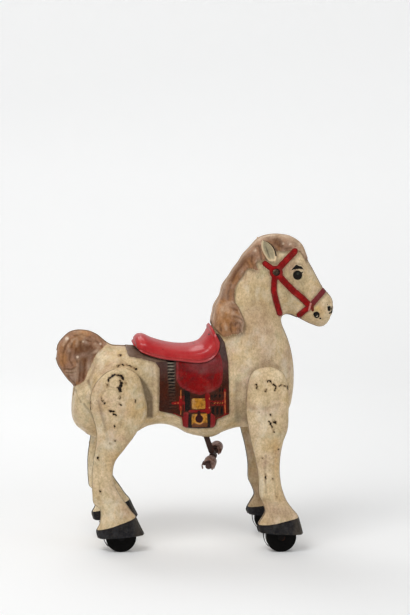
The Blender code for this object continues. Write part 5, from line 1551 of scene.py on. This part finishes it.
def leg_skin(name, sections, forms, chip_strokes, marks, hoof_line, discs, side, outer):
    """Makes one half of a leg with its relief and its paint layers."""
    hind = sections is HIND_LEG
    facing = -1 if outer else 1
    rows = smooth_rows(sections, LEG_ROWS)
    share = even_shares(LEG_COLUMNS)[None, :]
    x = rows[:, 0:1] + (rows[:, 2:3] - rows[:, 0:1]) * share
    z = rows[:, 1:2] + (rows[:, 3:4] - rows[:, 1:2]) * share
    power = OUTER_POWER if outer else INNER_POWER
    reach = np.maximum(rows[:, 4:5] if outer else rows[:, 5:6], 0)
    depth = reach * bulge(share, power, power)
    base = np.stack((x * MM, -LEG_SEAM + facing * (depth * MM + SKIN), z * MM), axis=-1)
    spots = sighted(base)
    hoof = along_pairs(x, hoof_line) - z
    relief = -HOOF_STEP * ramp(hoof + 0.3, 1.4)
    layers = dict(hoof=hoof)
    if outer:
        for path, height, reach_mm in forms:
            relief = relief + FORM_RISE * height * swell(stroke(spots, path, 0), reach_mm)
        for centre, radius, height in discs:
            relief = relief + height * ramp(disc(spots, centre, radius), 1.8)
        moved = spots if side == RIGHT else spots - CHIP_SHIFT
        layers["chip"] = strokes(moved, chip_strokes)
    else:
        layers["chip"] = np.full(spots.shape[:2], NO_CHIP)
    layers["chip_dirt"] = layers["chip"] + 1.6
    layers["chip_specks"] = layers["chip"] - 0.6
    for mark, patches in marks.items():
        layers[mark] = tone(spots, *patches)
    # The inner halves get painted shade on the fore legs and painted light on the hind legs
    layers["inner_shade"] = np.full(x.shape, 0.0 if outer or hind else 1.0)
    layers["pale"] = np.full(x.shape, 0.9 if hind else 0.0)
    if outer:
        low_spot, high_spot = ((112, 500), (94, 400)) if hind else ((270, 486), (276, 376))
        rubbed_spots = (1, low_spot, 16, 1.6, 30), (1, high_spot, 7, 1.6, 14)
        layers["pale"] = 0.55 * tone(spots, rubbed_spots)
    layers["crevice"] = np.clip((relief - blurred(relief, 2)) * 1.5, -1, 1)
    relief = relief * ramp(depth, 3.0)
    grid = base + outward(base, facing) * (relief * MM)[..., None]
    if not outer:
        grid[..., 1] = np.minimum(grid[..., 1], base[..., 1])
    limit = -LEG_SEAM + facing * SKIN
    grid[..., 1] = np.minimum(grid[..., 1], limit) if outer else np.maximum(grid[..., 1], limit)
    # The front of the toe gets a paler painted highlight
    layers["toe_highlight"] = np.clip((spots[..., 0] - (133 if hind else 292)) / 5, 0, 1)
    # A dark line of painted shadow under the coat's edge, along the top of the hoof
    layers["shadow_under_coat"] = hoof + 0.9
    grid, layers = with_flange(grid, layers, LEG_FLANGE)
    layers["seam"] = layers["seam"] * (0.35 if side == RIGHT else 1.0)
    pivot = HIP if hind else SHOULDER
    holes = () if outer else [(pivot[0] * MM, pivot[1] * MM, SHAFT_HOLE)]
    return skin_object(name, grid, layers, side, holes=holes, facing=facing)


leg_pieces = []
for word, *drawing in (
    ("fore", FORE_LEG, FORE_FORMS, FORE_CHIPS, FORE_MARKS, FORE_HOOF, ()),
    ("hind", HIND_LEG, HIND_FORMS, HIND_CHIPS, HIND_MARKS, HIND_HOOF, HIP_DISCS),
):
    for side, side_word in SIDES:
        for outer in (True, False):
            half_word = "outer" if outer else "inner"
            node = "%s_leg_%s_%s" % (word, side_word, half_word)
            piece = leg_skin("pressed_" + node, *drawing, side, outer)
            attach(piece, word + "_legs")
            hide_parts(node)
            leg_pieces.append(piece)
print("leg halves:", len(leg_pieces))

# %% [markdown]
# ## Painting the legs
#
# The legs get the body's cream, stains and chips, and painted shade by region. The
# hoof is dark grey, with a paler brown painted on the toe as a highlight and a dark
# line of painted shadow under the coat's edge. On the seam's bare edge only some
# paint is left.


# %% Leg paint
def hoof_colour(tree):
    """Wires the hoof's grey with a paler painted highlight on its toe."""
    grey = mottle(tree, rgb(29, 30, 36), rgb(49, 50, 54), 60)
    toe_highlight = maths(tree, "MULTIPLY", layer_value(tree, "toe_highlight"), 0.7)
    return lay_over(tree, grey, rgb(74, 68, 62), toe_highlight)


seam_colour = two_tone(rgb(38, 34, 28), rgb(120, 104, 82), 26, 0.54, 0.66)
LEG_COATS = (
    # Ochre stains, then pink painted shade
    ("stain", rgb(226, 182, 126), "soft", 0.45, 0), ("bruise", rgb(196, 164, 146), "soft", 0.6, 0),
    # Painted light on the hind legs' inner halves and rubbed spots on the outer halves, then painted shade
    # on the fore legs' inner halves
    ("pale", rgb(250, 232, 198), "soft", 0.9, 0), ("inner_shade", rgb(142, 112, 76), "soft", 0.45, 0),
    *CHIP_COATS,
    # Painted shadow under the coat's edge, then the hoof
    ("shadow_under_coat", rgb(30, 26, 24), "hard", 0.5, 0.5), ("hoof", hoof_colour, "hard", 0.7, 0.3),
    ("seam", seam_colour, "soft", 1.0, 0),
)
leg_paint = painted("painted_leg", cream_coat, LEG_COATS, dict(BODY_WEAR, chips=0.12))
dressed(leg_pieces, leg_paint)
print("leg paint nodes:", len(leg_paint.node_tree.nodes))

# %% [markdown]
# ## The saddle seat
#
# The seat is one pressing that straddles the back: a raised cantle, a dip, and
# the pommel that climbs the withers. A rolled rim runs along its lower edge. Its
# section is a super-ellipse, rounder than a box and fuller than a circle.

# %% Saddle seat
SEAT = (
    (-153, 491, -150, 486), (-147, 504, -139, 478), (-131, 512, -120, 470),
    (-104, 502, -98, 464), (-80, 495, -75, 460), (-60, 491, -54, 458), (-38, 489, -34, 456),
    (-16, 490, -12, 454), (2, 494, 7, 454), (14, 500, 22, 457), (22, 509, 34, 463),
    (27, 520, 44, 473), (30, 531, 50, 486), (34, 539, 52, 502),
)
SEAT_ROWS, SEAT_COLUMNS, SEAT_POWER, SEAT_PLAY = 200, 150, 2.7, 2.4
SEAT_DROP = 7
body_flat = body_base.reshape(-1, 3) / MM


def back_half_width(x, z):
    """Gives the body's half width near a place of the side view."""
    near = np.hypot(body_flat[:, 0] - x, body_flat[:, 2] - z)
    few = np.argsort(near)[:6]
    return float(np.average(-body_flat[few, 1], weights=1 / (near[few] + 0.5)))


stations = [
    (top_x, top_z, side_x, side_z, back_half_width(side_x, side_z - SEAT_DROP) + SEAT_PLAY, 0)
    for top_x, top_z, side_x, side_z in SEAT
]
rows = smooth_rows(stations, SEAT_ROWS)
angle = np.linspace(0, math.pi, SEAT_COLUMNS)[None, :]
rise = np.abs(np.sin(angle)) ** (2 / SEAT_POWER)
out = np.sign(np.cos(angle)) * np.abs(np.cos(angle)) ** (2 / SEAT_POWER)
seat_grid = np.stack((
    (rows[:, 2:3] + (rows[:, 0:1] - rows[:, 2:3]) * rise) * MM, -rows[:, 4:5] * out * MM,
    (rows[:, 3:4] + (rows[:, 1:2] - rows[:, 3:4]) * rise) * MM), axis=-1)
print("seat width in mm:", round(float(np.ptp(seat_grid[..., 1])) / MM, 1))

# %% [markdown]
# ## The seat's rim
#
# A rolled rim, a groove beside it and a wide soft roll follow the seat's edge, so
# each is a bump at its own distance from that edge.

# %% Seat rim and enamel
# The seat is painted a darker red along its lower part
SEAT_LOWER_BAND = [
    (134, 341), (152, 353), (175, 358), (200, 358), (214, 350), (217, 340), (219, 352),
    (212, 364), (180, 364), (150, 358),
]
GREY_RIM = [(134.7, 342.2), (137.6, 350.3), (144.9, 355.8), (155.2, 359.2), (162, 360)]
SEAT_CHIPS = (
    ([(208.9, 334.6), (209.4, 334.2)], 1.3), ([(162.6, 349.6), (163, 350)], 0.8),
    ([(207.6, 326.8), (207.4, 327.6)], 0.9), ([(193.4, 343.4), (194, 343.6)], 0.6),
)
steps = np.linalg.norm(np.diff(seat_grid, axis=1), axis=-1)
walked = np.concatenate((np.zeros((SEAT_ROWS, 1)), np.cumsum(steps, axis=1)), axis=1) / MM
edge_gap = np.minimum(walked, walked[:, -1:] - walked)
lengths = np.linalg.norm(np.diff(rows[:, 0:3:2], axis=0), axis=1)
run = np.concatenate(((0,), np.cumsum(lengths)))
rim_gap = np.minimum(edge_gap, np.minimum(run, run[-1] - run)[:, None])
rim, groove, roll = swell(rim_gap - 2.6, 2.0), swell(rim_gap - 6.2, 1.8), swell(rim_gap - 24, 13)
seat_relief = 1.5 * rim - 1.1 * groove + 1.6 * roll
seat_normal = outward(seat_grid)
# Up and sideways both lead away from the back, and up counts more
lean = seat_normal[..., 2:3] * 3 + np.sign(seat_grid[..., 1:2]) * seat_normal[..., 1:2]
seat_normal *= np.where(lean < 0, -1, 1)
seat_skin = seat_grid + seat_normal * (seat_relief * MM)[..., None]
near_side = np.stack((seat_grid[..., 0], -np.abs(seat_grid[..., 1]), seat_grid[..., 2]), axis=-1)
seat_spots = sighted(near_side)
seat_layers = dict(
    crevice=np.clip((seat_relief - blurred(seat_relief, 3)) * 1.2, -1, 1),
    rim=np.clip(rim, 0, 1),
    dull=ramp(within(seat_spots, SEAT_LOWER_BAND), 8),
    # Painted shadow along the seat's lower edge, where it overhangs the flap
    seat_edge_shadow=ramp(2.4 - edge_gap, 1.6),
    rim_grey=stroke(seat_spots, GREY_RIM, 0.9),
    chip=strokes(seat_spots, SEAT_CHIPS),
)
saddle = skin_object("saddle_pressing", seat_skin, seat_layers, RIGHT, facing=1, axis=2)
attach(saddle, "horse_body")
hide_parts("saddle_seat")
SADDLE_COATS = (
    ("dull", rgb(150, 30, 36), "soft", 0.5, 0), ("rim", rgb(176, 58, 60), "soft", 0.4, 0),
    ("rim_grey", rgb(150, 106, 104), "hard", 1.2, 0.5),
    # Painted shadow under the seat's edge
    ("seat_edge_shadow", rgb(40, 16, 16), "soft", 0.85, 0), ("chip", CHIP, "hard", 0.6, 0.5),
)
saddle_paint = painted(
    "saddle_enamel", two_tone(rgb(176, 16, 24), rgb(184, 44, 44), 34, 0.40, 0.66), SADDLE_COATS,
    dict(clouds=0.2, specks=0.08, cracks=0.05, chips=0.0, varnish=0.28, shine=0.2),
    gloss=0.38, bump=0.2,
)
dressed([saddle], saddle_paint)
print("saddle faces:", len(saddle.data.polygons))

# %% [markdown]
# ## Ears
#
# Each ear is a small leaf of sheet, hollowed like a spoon, that stands off the
# head. Its form comes from a few steps along its middle line, and a bead runs
# round its border. A thin black line of painted shadow runs along its front edge.

# %% Ears
EAR_SHEET, EAR_LENGTH, EAR_FOOT, EAR_GAP = 0.9 * MM, 50, (172, 700), 2.4
# Along the ear: share, middle across and up, half width, hollow
EAR_STEPS = (
    (0, 175.7, 697.4, 7.0, 2.0), (0.15, 173.6, 704, 11.5, 4.5), (0.35, 170.4, 713.3, 15.0, 6.5),
    (0.55, 166.6, 723.6, 15.8, 6.5), (0.7, 163.2, 731.5, 15.0, 5.5), (0.85, 159.6, 739, 12.0, 3.5),
    (0.93, 156.6, 743.6, 8.6, 2.0), (1, 150.8, 748, 1.0, 0.3),
)
rows_of = np.linspace(0, 1, 70)[:, None]
turn = np.linspace(-1, 1, 44)[None, :]


def smooth_curve(values, at):
    """Runs a smooth curve through a few (place, value) pairs."""
    places = [pair[0] for pair in values]
    fine = np.linspace(0, 1, 200)
    rough = np.interp(fine, places, [pair[1] for pair in values])
    for _ in range(3):
        padded = np.pad(rough, 5, mode="reflect", reflect_type="odd")
        rough = np.convolve(padded, np.ones(11) / 11, mode="valid")
    return np.interp(at, fine, rough)


middle_x, middle_z, half, cup = (
    smooth_curve([(step[0], step[column]) for step in EAR_STEPS], rows_of)
    for column in (1, 2, 3, 4)
)
skin_y = -back_half_width(*EAR_FOOT) - EAR_GAP
ear_grid = np.stack((
    middle_x + turn * half, skin_y - (3.2 + 3.0 * rows_of - cup * (1 - turn**2)) + 0 * turn,
    middle_z - turn * half * 0.05), axis=-1) * MM
border = (1 - np.abs(turn)) * half
bead = swell(np.minimum(border, rows_of * EAR_LENGTH) - 1.2, 1.2)
ear_grid[..., 1] -= 0.6 * MM * bead
ear_layers = dict(
    crevice=0 * border,
    hollow=ramp(border - 2.6, 4) * ramp(rows_of * EAR_LENGTH - 3, 6),
    # Painted shadow along the ear's front edge
    ear_rim_shadow=np.where((turn > 0) & (rows_of > 0.3), 2.6 - border, -5.0),
    recess=swell(turn + 0.25, 0.16) * ramp(rows_of - 0.1, 0.2) * ramp(0.8 - rows_of, 0.2),
)
EAR_COATS = (
    ("hollow", two_tone(rgb(176, 168, 140), rgb(146, 140, 116), 110), "soft", 0.8, 0),
    ("recess", rgb(74, 66, 54), "soft", 0.7, 0), ("ear_rim_shadow", rgb(24, 20, 18), "hard", 0.5, 0.3),
)
ear_paint = painted(
    "painted_ear", CREAM, EAR_COATS,
    dict(clouds=0.4, specks=0.2, cracks=0.1, chips=0.05, varnish=0.05, shine=0.2),
)
for side, word in SIDES:
    ear = skin_object("pressed_ear_" + word, ear_grid, ear_layers, side, thick=EAR_SHEET)
    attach(ear, "horse_body")
    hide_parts("ear_" + word)
    dressed([ear], ear_paint)
print("ear faces:", len(ear.data.polygons))

# %% [markdown]
# ## Wheels
#
# The rollers in the hooves are plain hard tyres. So a cylinder does, with rounded
# edges and a bore for the axle.

# %% Wheels
TYRE_RADIUS, TYRE_WIDTH, TYRE_BORE, TYRE_EDGE = 36.37, 22, 4.6, 2.6
WHEEL_PLACES = (("fore", 211), ("hind", -176))


def applied(item, kind, **settings):
    """Adds a modifier, sets it and applies it."""
    picked_alone(item)
    change = item.modifiers.new("change", kind)
    for key, value in settings.items():
        setattr(change, key, value)
    bpy.ops.object.modifier_apply(modifier="change")
    return item


def cylinder(name, radius, depth, place=(0, 0, 0), rotation=(0, 0, 0), sides=96, fill="NGON"):
    """Makes a cylinder from millimetres, with its place kept in the mesh."""
    bpy.ops.object.select_all(action="DESELECT")
    bpy.ops.mesh.primitive_cylinder_add(
        vertices=sides, radius=radius * MM, depth=depth * MM, end_fill_type=fill,
        location=[part * MM for part in place], rotation=rotation)
    item = bpy.context.active_object
    item.name = item.data.name = name
    bpy.ops.object.transform_apply(location=True, rotation=True, scale=True)
    return item


tyres = []
for word, wheel_x in WHEEL_PLACES:
    for side, side_word in SIDES:
        place = (wheel_x, side * LEG_SEAM / MM, TYRE_RADIUS)
        upright = (math.pi / 2, 0, 0)
        tyre = cylinder("tyre_%s_%s" % (word, side_word), TYRE_RADIUS, TYRE_WIDTH, place, upright)
        applied(tyre, "BEVEL", width=TYRE_EDGE * MM, segments=4, limit_method="ANGLE")
        bore = cylinder("bore", TYRE_BORE, TYRE_WIDTH * 2, place, upright, sides=32)
        applied(tyre, "BOOLEAN", object=bore, operation="DIFFERENCE")
        bpy.data.objects.remove(bore)
        picked_alone(tyre)
        bpy.ops.object.shade_smooth_by_angle(angle=math.radians(30))
        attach(tyre, "%s_roller_%s" % (word, side_word))
        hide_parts("%s_wheel_%s" % (word, side_word))
        tyres.append(tyre)
print("tyres:", [tyre.name for tyre in tyres])

# %% [markdown]
# ## Treads of the pedals
#
# Each footrest is an arch of sheet over a block and a sleeve, held by a claw and a
# tie at its outer end. All of these are parts of tubes that lie along the skewed
# cross bar, so one function cuts them from cylinders.

# %% Pedal treads
BAR_CENTRE = Vector((52, 0, 213)) * MM
BAR_YAW, BAR_DROP = math.radians(13), math.radians(2.3)
TREAD_NEAR, TREAD_FAR, TREAD_EDGE = 54, 99.5, 0.35
bar_line = Vector((math.sin(BAR_YAW) * math.cos(BAR_DROP), math.cos(BAR_YAW) * math.cos(BAR_DROP),
                   math.sin(BAR_DROP)))
bar_ahead = Vector((bar_line.y, -bar_line.x, 0)).normalized()
bar_up = bar_ahead.cross(bar_line)
bar_frame = Matrix.Translation(BAR_CENTRE) @ Matrix(
    (bar_ahead, bar_up, -bar_line)).transposed().to_4x4()


def arch(name, radius, thick, turns, ends, side):
    """Makes a part of a tube round the bar: outer radius, sheet, angles, and its two ends."""
    near, far = ends
    middle = (0, 0, -side * (near + far) / 2)
    item = cylinder(name, radius, far - near, middle, sides=72, fill="NOTHING")
    first, last = turns
    for face in item.data.polygons:
        angle = math.degrees(math.atan2(face.center.y, face.center.x))
        face.select = not first < (angle if angle > first else angle + 360) < last
    for vertex in item.data.vertices:
        vertex.select = False
    for edge in item.data.edges:
        edge.select = False
    if last - first < 360:
        bpy.ops.object.mode_set(mode="EDIT")
        bpy.ops.mesh.delete(type="FACE")
        bpy.ops.object.mode_set(mode="OBJECT")
    applied(item, "SOLIDIFY", thickness=thick * MM, offset=-1)
    applied(item, "BEVEL", width=TREAD_EDGE * MM, segments=2, limit_method="ANGLE")
    item.matrix_world = bar_frame
    bpy.ops.object.transform_apply(location=True, rotation=True, scale=True)
    bpy.ops.object.shade_smooth_by_angle(angle=math.radians(35))
    return item


whole = (TREAD_NEAR, TREAD_FAR)
inset = (TREAD_NEAR + 1.5, TREAD_FAR - 1.5)
# Each part: its outer radius, its sheet, the angles it spans, its ends and its finish
TREAD_PARTS = (
    ("arch", 15.2, 1.7, (-25, 150), whole, "pink_steel"),
    ("lining", 13.4, 6.2, (62.5, 140), inset, "rusty_steel"),
    ("block", 13.4, 6.4, (-50, 62), inset, "pink_steel"),
    ("sleeve", 6.8, 1.2, (-180, 180), whole, "rusty_steel"),
    ("claw", 17, 2.0, (168, 212), (TREAD_FAR - 9, TREAD_FAR), "pink_steel"),
    ("tie", 16.6, 11.0, (140, 176), (TREAD_FAR - 7, TREAD_FAR - 2), "rusty_steel"),
)
# Faces are picked as faces, because picked edges would bring the kept ones along
scene.tool_settings.mesh_select_mode = (False, False, True)
tread_parts = []
for side, word in SIDES:
    for part, radius, thick, turns, ends, finish in TREAD_PARTS:
        piece = arch("tread_%s_%s" % (part, word), radius, thick, turns, ends, side)
        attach(piece, "pedals")
        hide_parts("footrest_" + word)
        tread_parts.append((piece, finish))
print("tread parts and their faces:", [len(piece.data.polygons) for piece, finish in tread_parts])

# %% [markdown]
# ## Return springs
#
# Each spring pulls a crank's rivet back towards its bolt on the body. The wire is
# a path of points with a round thickness: an eye, the coil, and another eye. The
# rivet moves with its pair of legs; the spring is wound once, at rest.


# %% Return springs
WIRE_RADIUS, COIL_RADIUS, COIL_LENGTH, COIL_TURNS = 1.3, 6, 62, 6
EYE_RADIUS, EYE_SWEEP, SPRING_PLANE, TURN_STEPS = 5.9, 280, 12, 24
RIVET_EYE_START, BOLT_EYE_START = -260, 160
# Each spring: its pair of legs, the crank's rivet and the body's bolt at rest in the side
# view, and its place across
SPRINGS = (
    ("front", "fore_legs", (170.57, 345.37), (75.05, 356.6), -SPRING_PLANE),
    ("rear", "hind_legs", (-200.28, 361.14), (-40.53, 346.96), SPRING_PLANE),
)


def return_spring(name, rivet, bolt, y):
    """Winds a spring from a crank's rivet to its bolt, with an eye at each end."""
    first, last = Vector((rivet[0], y, rivet[1])), Vector((bolt[0], y, bolt[1]))
    line = (last - first).normalized()
    across = Vector((0, 1, 0))
    up = line.cross(across)
    coil_start = first.lerp(last, 0.5) - line * COIL_LENGTH / 2
    coil_end = coil_start + line * COIL_LENGTH
    points = []
    for step in range(TURN_STEPS + 1):
        angle = math.radians(EYE_SWEEP * step / TURN_STEPS + RIVET_EYE_START)
        points.append(first + EYE_RADIUS * (line * math.cos(angle) + up * math.sin(angle)))
    count = COIL_TURNS * TURN_STEPS
    for step in range(count + 1):
        angle = math.tau * step / TURN_STEPS
        points.append(coil_start.lerp(coil_end, step / count)
                      + COIL_RADIUS * (up * math.cos(angle) + across * math.sin(angle)))
    for step in range(TURN_STEPS + 1):
        angle = math.radians(BOLT_EYE_START - EYE_SWEEP * step / TURN_STEPS)
        points.append(last + EYE_RADIUS * (line * math.cos(angle) + up * math.sin(angle)))
    bpy.ops.object.select_all(action="DESELECT")
    bpy.ops.curve.primitive_nurbs_path_add()
    item = picked_alone(bpy.context.active_object)
    item.name = name
    curve = item.data
    curve.splines.clear()
    spline = curve.splines.new("POLY")
    spline.points.add(len(points) - 1)
    for point, place in zip(spline.points, points):
        point.co = (*(place * MM), 1)
    curve.bevel_depth = WIRE_RADIUS * MM
    curve.bevel_resolution = 3
    curve.use_fill_caps = True
    bpy.ops.object.convert(target="MESH")
    bpy.ops.object.mode_set(mode="EDIT")
    bpy.ops.mesh.select_all(action="SELECT")
    bpy.ops.mesh.remove_doubles(threshold=0.00002)
    bpy.ops.mesh.normals_make_consistent(inside=False)
    bpy.ops.object.mode_set(mode="OBJECT")
    bpy.ops.object.shade_smooth_by_angle(angle=math.radians(50))
    return item, coil_start * MM, coil_end * MM


springs = []
for name, legs, rivet, bolt, y in SPRINGS:
    spring, rivet_end, bolt_end = return_spring("return_spring_" + name, rivet, bolt, y)
    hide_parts(name + "_spring")
    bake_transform(spring)
    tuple(bolt_end)
    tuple(rivet_end)
    springs.append(spring)
print("springs:", [(spring.name, len(spring.data.vertices)) for spring in springs])

# %% [markdown]
# ## Metal and rubber
#
# The working parts are plain: dull steel, brown rusty steel, dark bronze and
# hard black rubber. Each is one procedural finish with its own dirt.


# %% Metal and rubber finishes
PIT_DEPTH = 0.0004


def worn_metal(name, first, second, scale, metallic, rough, rust, bump=0.4):
    """Makes a finish of metal or rubber from two tones, with rust in patches and fine grain."""
    material = bpy.data.materials.new(name)
    material.use_nodes = True
    tree = material.node_tree
    shader = tree.nodes["Principled BSDF"]
    colour = mottle(tree, first, second, scale, low=0.40, high=0.62)
    place = add(tree, "TexCoord").outputs["Object"]
    patch = add(tree, "TexNoise", {"Vector": place, "Scale": scale * 0.5, "Detail": 8.0,
                                   "Roughness": 0.7}).outputs["Fac"]
    patch = maths(tree, "SUBTRACT", patch, 0.60 - 0.14 * rust)
    patch = maths(tree, "MULTIPLY", patch, 8.0, clamp=True)
    patch = maths(tree, "MULTIPLY", patch, min(1.0, rust * 1.5))
    colour = lay_over(tree, colour, rgb(112, 62, 38), patch)
    tree.links.new(colour, shader.inputs["Base Color"])
    dull = maths(tree, "ADD", maths(tree, "MULTIPLY", patch, 0.35), rough, clamp=True)
    tree.links.new(dull, shader.inputs["Roughness"])
    bare = maths(tree, "MULTIPLY", maths(tree, "SUBTRACT", 1.0, patch), metallic)
    tree.links.new(bare, shader.inputs["Metallic"])
    shader.inputs["Specular IOR Level"].default_value = 0.25 if metallic else 0.06
    grain = add(tree, "TexNoise", {"Vector": place, "Scale": scale * 9,
                                   "Detail": 3.0}).outputs["Fac"]
    height = maths(tree, "ADD", grain, patch)
    pits = add(tree, "Bump", {"Height": height, "Strength": bump, "Distance": PIT_DEPTH})
    tree.links.new(pits.outputs["Normal"], shader.inputs["Normal"])
    return material


metals = {
    "plain_steel": worn_metal("dull_steel", rgb(132, 128, 122), rgb(92, 88, 84), 60, 0.9, 0.42, 0.4),
    "spring_steel": worn_metal("coiled_steel", rgb(110, 110, 112), rgb(80, 80, 84), 90, 0.9, 0.35, 0.2),
    "rusty_steel": worn_metal("brown_steel", rgb(74, 54, 48), rgb(52, 36, 32), 70, 0.35, 0.5, 0.6),
    "pink_steel": worn_metal("worn_brown_steel", rgb(146, 118, 106), rgb(90, 62, 54), 120, 0.25, 0.5, 0.5),
    "dark_bronze": worn_metal("dark_brass", rgb(84, 66, 52), rgb(52, 40, 34), 140, 0.7, 0.34, 0.2),
    "black_bracket": worn_metal("black_steel", rgb(26, 24, 24), rgb(16, 15, 14), 80, 0.0, 0.6, 0.2),
    "black_rubber": worn_metal("hard_rubber", rgb(8, 7, 6), rgb(14, 12, 11), 70, 0.0, 0.5, 0.0, 0.25),
}


def finish_of(name):
    """Tells from a solid's name what it is made of."""
    if "bracket" in name or "axle" in name or "eyelet" in name:
        return "black_bracket"
    if "spring" in name and "bolt" not in name:
        return "spring_steel"
    if "bush" in name or "rosette" in name:
        return "dark_bronze"
    if "wheel" in name:
        return "black_rubber"
    if name in ("pedal_lever", "pedal_bar") or "footrest" in name:
        return "rusty_steel"
    return "plain_steel"


for name, node in frame["nodes"].items():
    dressed([node], metals[finish_of(name)])
dressed(tyres, metals["black_rubber"])
dressed(springs, metals["spring_steel"])
for piece, finish in tread_parts:
    dressed([piece], metals[finish])
print("finishes:", sorted(metals))

# %% [markdown]
# ## The two boxes
#
# The dressed toy's box is measured beside the plain solids' box. The dressed toy must
# stay as large as the plain solids.

# %% Size of the dressed toy
dressed_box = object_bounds()
({"cad": [list(corner) for corner in cad_box],
           "dressed": [list(corner) for corner in dressed_box]})
print("dressed box:", dressed_box)
